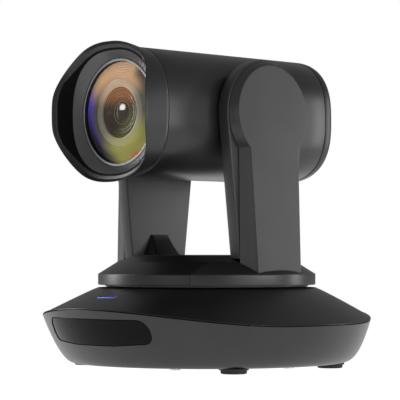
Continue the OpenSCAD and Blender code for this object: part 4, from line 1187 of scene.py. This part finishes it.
def two_tone_ring(name):
    """Black inside, with a satin metal front edge."""
    recipe = Recipe(name, specular_ior_level=0.5)
    radius, side, up = around_lens(recipe)
    edge = radius.between(ring_in + 0.12, ring_in + 0.22)
    mark = recipe.noise(1.4, 3.0)
    recipe.feed(Base_Color=recipe.mix(edge, (0.004, 0.004, 0.004), (0.42, 0.43, 0.45)))
    recipe.feed(Metallic=edge * 0.9)
    recipe.feed(Roughness=0.42 + (mark - 0.5) * 0.12 - edge * 0.1)
    return recipe.material


stand_in(lens_rim, two_tone_ring("ring_finish"), "head", "gloss_black", "lens_ring")


def clear_coat(name):
    """Coated glass: clear, with a mirror skin that is stronger at a glancing angle."""
    recipe = Recipe(name, base_color=(0.80, 0.82, 1.0, 1), metallic=1.0)
    smear = recipe.noise(7.0, 3.0)
    recipe.feed(Roughness=0.02 + smear.between(0.5, 0.8) * 0.03)
    through = recipe.add("ShaderNodeBsdfTransparent", {}, {"Color": (0.97, 0.97, 0.98, 1)}, "BSDF")
    glance = recipe.add("ShaderNodeLayerWeight", {}, {"Blend": 0.5}, "Facing")
    share = glance ** 5 * 0.8 + 0.02
    both = recipe.add("ShaderNodeMixShader", {}, {0: share, 1: through}, "Shader")
    recipe.tree.links.new(recipe.shader.outputs[0], both.socket.node.inputs[2])
    recipe.tree.links.new(both.socket, recipe.tree.nodes["Material Output"].inputs["Surface"])
    return recipe.material


glass_rise = glass_edge_y - glass.y0
glass_sphere = (glass.x1 ** 2 + glass_rise ** 2) / (2 * glass_rise)


def glass_front(r):
    """How far forward the front glass's surface is, at a radius."""
    return glass_edge_y - (sqrt(glass_sphere ** 2 - r * r) - glass_sphere + glass_rise)


radii = [max(1e-4, glass.x1 * sin(pi / 2 * i / 16)) for i in range(17)]
outside = [(r, glass_front(r)) for r in reversed(radii)]
inside = [(r, glass_front(r) + glass_thick) for r in radii]
profile = outside + inside
front_lens = soften(turned_lens("front_lens", profile), 50)
stand_in(front_lens, clear_coat("coated_glass"), "head", "lens_glass", "front_glass")

# %% [markdown]
# The inner parts: a cone with eleven fine ribs that ends in a flat collar, and the inner
# element, a dark dome in narrow steps. The ribs are part of the cone's turned profile.

# %% Ribbed cone and inner element
rib_count = 11
cone_gap = 0.6
pupil_radius = 12.8
cone_out, cone_in = lens_ring.x1 - 1.55, 17.2
inner_back = baffle.y1
profile = [(cone_out, inner_back), (cone_out, glass_front(cone_out) + cone_gap)]
rib_pitch = (cone_out - cone_in) / rib_count
for i in range(rib_count):
    r = cone_out - rib_pitch * i
    y = glass_front(r) + cone_gap
    profile += [(r - rib_pitch * 0.15, y - 0.16), (r - rib_pitch * 0.5, y - 0.18),
                (r - rib_pitch * 0.65, y + 0.05), (r - rib_pitch * 0.95, y + 0.04)]
collar = glass_front(cone_in) + cone_gap
profile += [(cone_in, collar), (cone_in - 0.3, collar - 0.22), (pupil_radius + 0.6, collar - 0.45),
            (pupil_radius + 0.1, collar - 0.3), (pupil_radius, collar + 0.6), (pupil_radius, inner_back)]
ribbed_cone = soften(turned_lens("ribbed_cone", profile), 50)


def cone_painted_light(name):
    """Fine ribs with painted reflections, amber above, violet at one side and green below, a small painted
    orange glint low on the other side, and painted shade at two corners; the colours also glow a little.
    """
    recipe = Recipe(name, specular_ior_level=0.4, coat_weight=0.2, coat_roughness=0.15,
                    emission_strength=0.22)
    radius, side, up = around_lens(recipe)
    outer = radius.between(18.5, 24.0)
    collar_share = 1.0 - radius.between(16.4, 17.0)
    lines = (radius * 7.6).wave()
    veil = recipe.noise(9.0, 2.0)
    colour_with_painted_light = recipe.mix(veil, (0.13, 0.12, 0.075), (0.20, 0.19, 0.14))
    # painted reflections and painted shade by angle; the last layer is the collar's own grey
    painted_light_and_collar = [
        ((side * 0.35 - up * 0.94).between(0.3, 0.95), (0.50, 0.48, 0.10)),
        ((0.0 - side).between(0.45, 0.98) * radius.between(17.5, 23.5), (0.13, 0.09, 0.60)),
        ((0.0 - side * 0.75 - up * 0.66).between(0.6, 1.0) * outer, (0.02, 0.022, 0.03)),
        ((up - side * 0.12).between(0.25, 0.9), (0.95, 0.62, 0.34)),
        ((side * 0.8 + up * 0.6).between(0.86, 0.97) * outer, (0.16, 0.10, 0.07)),
        ((side * 0.45 - up * 0.89).between(0.975, 0.999) * radius.between(21.5, 24.0), (0.80, 0.22, 0.05)),
        (collar_share * 0.45, (0.30, 0.28, 0.22)),
    ]
    for share, colour in painted_light_and_collar:
        colour_with_painted_light = recipe.mix(share, colour_with_painted_light, colour)
    ribs = lines * (1.0 - collar_share)
    colour_with_painted_light = recipe.mix(ribs * 0.5, colour_with_painted_light, (0.04, 0.035, 0.035))
    # the painted colours also feed the glow, so the cone glows without a lamp
    recipe.feed(Base_Color=colour_with_painted_light, Emission_Color=colour_with_painted_light)
    recipe.feed(Roughness=0.34 + ribs * 0.12)
    recipe.bump(lines, 0.03, 0.3)
    return recipe.material


stand_in(ribbed_cone, cone_painted_light("ribs_painted_light"), "head", "plain_black", "lens_baffle")


def pupil_painted_light(name):
    """The inner element: painted reflection colours, copper above and olive below, fine rings, and a
    painted highlight that glows.
    """
    recipe = Recipe(name, specular_ior_level=0.25, coat_weight=0.15, coat_roughness=0.08,
                    emission_strength=0.9)
    radius, side, up = around_lens(recipe)
    height, across = up * radius, side * radius
    rings = (radius * 5.2).wave()
    heart = 1.0 - radius.between(3.6, 5.6)
    # painted reflection: olive towards the lower side, copper towards the top
    tone = recipe.mix((across - height).between(2.0, 12.0), (0.085, 0.052, 0.018), (0.17, 0.17, 0.035))
    tone = recipe.mix(height.between(1.0, 10.0), tone, (0.62, 0.26, 0.09))
    tone = recipe.mix(rings * 0.45, tone, (0.018, 0.014, 0.008))
    tone = recipe.mix(heart * 0.7, tone, (0.06, 0.056, 0.028))
    pale = radius.between(5.2, 5.6) * (1.0 - radius.between(6.0, 6.4))
    tone = recipe.mix(pale * 0.5, tone, (0.30, 0.26, 0.17))
    # painted highlight: a small white spot above the middle, fed to the glow
    highlight_gap = ((across - 0.9) ** 2 * 1.0 + (height - 2.4) ** 2 * 1.3) ** 0.5
    painted_highlight = (1.0 - highlight_gap.between(1.3, 2.6)) * height.between(0.9, 1.5)
    recipe.feed(Base_Color=tone)
    recipe.feed(Emission_Color=recipe.mix(painted_highlight, (0.0, 0.0, 0.0), (1.0, 0.97, 0.92)))
    recipe.feed(Roughness=0.16 + rings * 0.08)
    return recipe.material


pupil_edge = collar + 0.5
step_radii, step_fall = (12.75, 11.2, 9.6, 8.0, 6.6), 0.28
heart_rise = 0.9
profile = [(step_radii[0], inner_back)]
for i, r in enumerate(step_radii):
    y = pupil_edge + step_fall * i
    profile += [(r, y), (r - 0.12, y - 0.08), (r - 1.2, y - 0.02)]
for i in range(13):
    share = cos(pi / 2 * i / 12)
    profile.append((max(1e-4, 5.3 * share), y + 0.1 - heart_rise * sqrt(1 - share ** 2)))
profile.append((1e-4, inner_back))
inner_lens = soften(turned_lens("inner_lens", profile, loop=False), 35)
stand_in(inner_lens, pupil_painted_light("pupil_painted_light"), "head", "lens_glass")

# %% [markdown]
# The sockets at the rear get the small parts that a plug would meet: spring contacts in
# the network and data sockets, two lamps over the network socket, the white insulator
# and the threads of the video socket, and two screws that hold the panel. Everything
# is placed from the engineering parts' own boxes.

# %% Socket details
panel = Span("connector_panel")


def strip(name, path, wide, thick):
    """A flat spring bent along a path of depth and height."""
    low = [(y, z - thick) for y, z in reversed(path)]
    outline = path + low
    rings = [[(x, y, z) for y, z in outline] for x in (-wide / 2, wide / 2)]
    return skin(name, rings)


def in_a_row(count, pitch, x, y, z):
    """Evenly spaced places across a socket, with no turn."""
    return [((x + pitch * (i - (count - 1) / 2), y, z), (0, 0, 0)) for i in range(count)]


lan = Span("lan_port")
lan_roof = lan.z1 - 1.75
contact_path = [(0, 0), (-1.4, -0.05), (-2.6, -0.5), (-8.4, -2.9), (-9.2, -2.7), (-9.6, -2.0)]
pins = repeated("network_contacts", strip("pin", contact_path, 0.46, 0.2),
                in_a_row(8, 1.02, lan.mid_x, lan.y1 - 1.6, lan_roof), gold_plate)
stand_in(pins, gold_plate, "base", "brass")

usb = Span("usb_port")
pad_path = [(0, 0), (-5.6, 0.0), (-6.2, 0.05)]
pads = repeated("data_contacts", strip("pad", pad_path, 1.1, 0.12),
                in_a_row(4, 2.3, usb.mid_x, usb.y1 - 1.8, usb.z0 + 2.72), gold_plate)
stand_in(pads, gold_plate, "base", "brass")

hdmi = Span("hdmi_port")
wires = repeated("video_contacts", strip("wire", pad_path, 0.42, 0.1),
                 in_a_row(10, 1.0, hdmi.mid_x, hdmi.y1 - 1.6, hdmi.z0 + 2.82), gold_plate)
stand_in(wires, gold_plate, "base", "brass")

for word, side, glow in (("link", -1, green_lamp), ("traffic", 1, amber_lamp)):
    x = lan.mid_x + side * 5.4
    face = rounded([(x - 1.6, lan.z1 - 1.35, 0.25), (x + 1.6, lan.z1 - 1.35, 0.25),
                    (x + 1.6, lan.z1 - 0.3, 0.25), (x - 1.6, lan.z1 - 0.3, 0.25)], 4)
    middle = Vector((x, lan.z1 - 0.825))
    rings = [[(m.x, y, m.y) for m in (middle + (p - middle) * shrink for p in face)]
             for y, shrink in ((lan.y1 - 0.5, 1), (lan.y1 + 0.12, 1), (lan.y1 + 0.2, 0.93))]
    lamp_lens = soften(skin("network_lamp_" + word, rings), 50)
    stand_in(lamp_lens, glow, "base", "white_plastic")

sdi = Span("sdi_connector")
sdi_z, sdi_face = sdi.z0 + 5.5, lan.y1
corners = [(4.6, sdi_face - 0.4, 0), (5.45, sdi_face - 0.4, 0), (5.45, sdi_face + 0.5, 0.15),
           (4.95, sdi_face + 0.5, 0)]
for i in range(5):
    y = sdi_face + 1.0 + i * 0.62
    corners += [(4.84, y, 0.05), (5.06, y + 0.2, 0.05), (4.84, y + 0.42, 0.05)]
corners += [(4.84, sdi_face + 4.6, 0), (4.6, sdi_face + 4.6, 0)]
thread = soften(turned_lens("video_thread", rounded(corners, 3), 64, True, sdi.mid_x, sdi_z), 30)
stand_in(thread, plated_steel, "base", "bright_steel")
corners = [(0.85, sdi_face - 5.4, 0), (3.55, sdi_face - 5.4, 0), (3.55, sdi_face - 1.2, 0.2),
           (2.6, sdi_face - 1.2, 0.1), (2.5, sdi_face + 1.6, 0.2), (0.85, sdi_face + 1.6, 0.15)]
insulator = turned_lens("video_insulator", rounded(corners, 4), 64, True, sdi.mid_x, sdi_z)
soften(insulator, 35)
stand_in(insulator, white_dial, "base", "white_plastic")

head_profile = rounded([(0, -0.5, 0), (1.45, -0.5, 0), (1.45, 0.35, 0.2), (0.9, 0.85, 0.35),
                        (0, 0.9, 0)], 5)
screw_head = turned("screw_head", head_profile, 40)
for wide, tall in ((0.85, 0.16), (0.16, 0.85)):
    carve(screw_head, block("cross", (-wide, wide), (-tall, tall), (0.35, 2)))
screw_places = [((x, panel.y1, lan.z1 - 1.2), (-pi / 2, 0, 0))
                for x in (hdmi.mid_x + 8.2, usb.mid_x + 11.2)]
screws = repeated("panel_screws", screw_head, screw_places, plated_steel)
stand_in(screws, plated_steel, "base", "bright_steel")

# %% [markdown]
# Every engineering part that still shows its own shape gets a finish by its kind. Most
# lie inside and show only through a gap or in an open view, but each is finished.

# %% Finishes for the engineering parts
finishes = {
    sheet_steel: ["bottom_plate", "sensor_board"],
    cast_metal: ["base_chassis", "pan_hub", "head_chassis", "pan_pulley", "tilt_pulley",
                 "hub_retaining_ring", "pan_motor_pulley", "tilt_motor_pulley"],
    plated_steel: ["base_screws", "arm_screws", "pan_bearing_outer", "pan_bearing_inner",
                   "pan_bearing_balls", "tilt_bearing_left", "tilt_bearing_right",
                   "tilt_shaft_left", "tilt_shaft_right", "usb_port", "hdmi_port", "lan_port",
                   "sdi_connector"],
    turned_brass: ["tripod_insert"],
    motor_coat: ["pan_motor", "tilt_motor", "selector_switch", "lens_tube", "zoom_group", "focus_group"],
    belt_rubber: ["pan_belt", "tilt_belt"],
    board_lacquer: ["main_board", "led_board"],
    dark_plastic: ["connector_bay", "connector_panel", "dc_jack", "audio_jack", "serial_socket"],
    white_dial: ["selector_dial"],
}
for material, names in finishes.items():
    for name in names:
        finish(frame["nodes"][name], material)
print(sum(len(names) for names in finishes.values()), "engineering parts finished")

# %% [markdown]
# The studio is plain: a white floor that runs into a white room, one tall lamp on each
# side, two low strips that light the flanks of the base and one strip near the right
# arm. Dark plastic shows its shape by what it mirrors, so the lamps are large and soft.

# %% Studio
floor_material = bpy.data.materials.new("floor_white")
floor_material.use_nodes = True
floor_shader = floor_material.node_tree.nodes["Principled BSDF"]
floor_look = {"Base Color": (0.25, 0.25, 0.25, 1), "Emission Color": (1, 1, 1, 1),
              "Emission Strength": 1.0, "Roughness": 1.0, "Specular IOR Level": 0.0}
for socket, value in floor_look.items():
    floor_shader.inputs[socket].default_value = value
floor_half = 400
floor_corners = [(floor_half * x, floor_half * y, 0) for x, y in ((-1, -1), (1, -1), (1, 1), (-1, 1))]
floor = make_piece("studio_floor", floor_corners, [(0, 1, 2, 3)])
finish(floor, floor_material)

room = bpy.data.worlds.new("white_room")
room.use_nodes = True
room_nodes = room.node_tree.nodes
wall = room_nodes["Background"]
wall.inputs["Color"].default_value = (1, 1, 1, 1)
wall.inputs["Strength"].default_value = 1.0
dim = room_nodes.new("ShaderNodeBackground")
dim.inputs["Color"].default_value = (1, 1, 1, 1)
dim.inputs["Strength"].default_value = 0.27
seen = room_nodes.new("ShaderNodeLightPath")
share = room_nodes.new("ShaderNodeMixShader")
room.node_tree.links.new(seen.outputs["Is Camera Ray"], share.inputs[0])
room.node_tree.links.new(dim.outputs[0], share.inputs[1])
room.node_tree.links.new(wall.outputs[0], share.inputs[2])
room.node_tree.links.new(share.outputs[0], room_nodes["World Output"].inputs["Surface"])
stage_scene.world = room


def lamp(name, place, target, width, height, power):
    """A soft rectangular lamp that faces a target."""
    light = bpy.data.lights.new(name, "AREA")
    light.shape = "RECTANGLE"
    light.size, light.size_y = width, height
    light.energy = power
    holder = bpy.data.objects.new(name, light)
    stage_scene.collection.objects.link(holder)
    holder.location = place
    holder.rotation_euler = (Vector(target) - Vector(place)).to_track_quat("-Z", "Y").to_euler()
    return holder


middle_height = (0, 0, 0.09)
lamp("side_softbox", (1.6, -0.2, 0.4), middle_height, 0.8, 1.0, 5)
lamp("left_softbox", (-1.5, -0.6, 0.5), middle_height, 0.5, 1.2, 13)
lamp("low_front_strip", (0.2, -1.4, 0.15), middle_height, 1.0, 0.2, 1.4)
lamp("low_side_strip", (1.4, 0.5, 0.15), middle_height, 0.8, 0.25, 4)
lamp("near_rear_strip", (0.25, 0.38, 0.13), (0.03, 0, 0.12), 0.08, 0.25, 0.4)
print("five lamps")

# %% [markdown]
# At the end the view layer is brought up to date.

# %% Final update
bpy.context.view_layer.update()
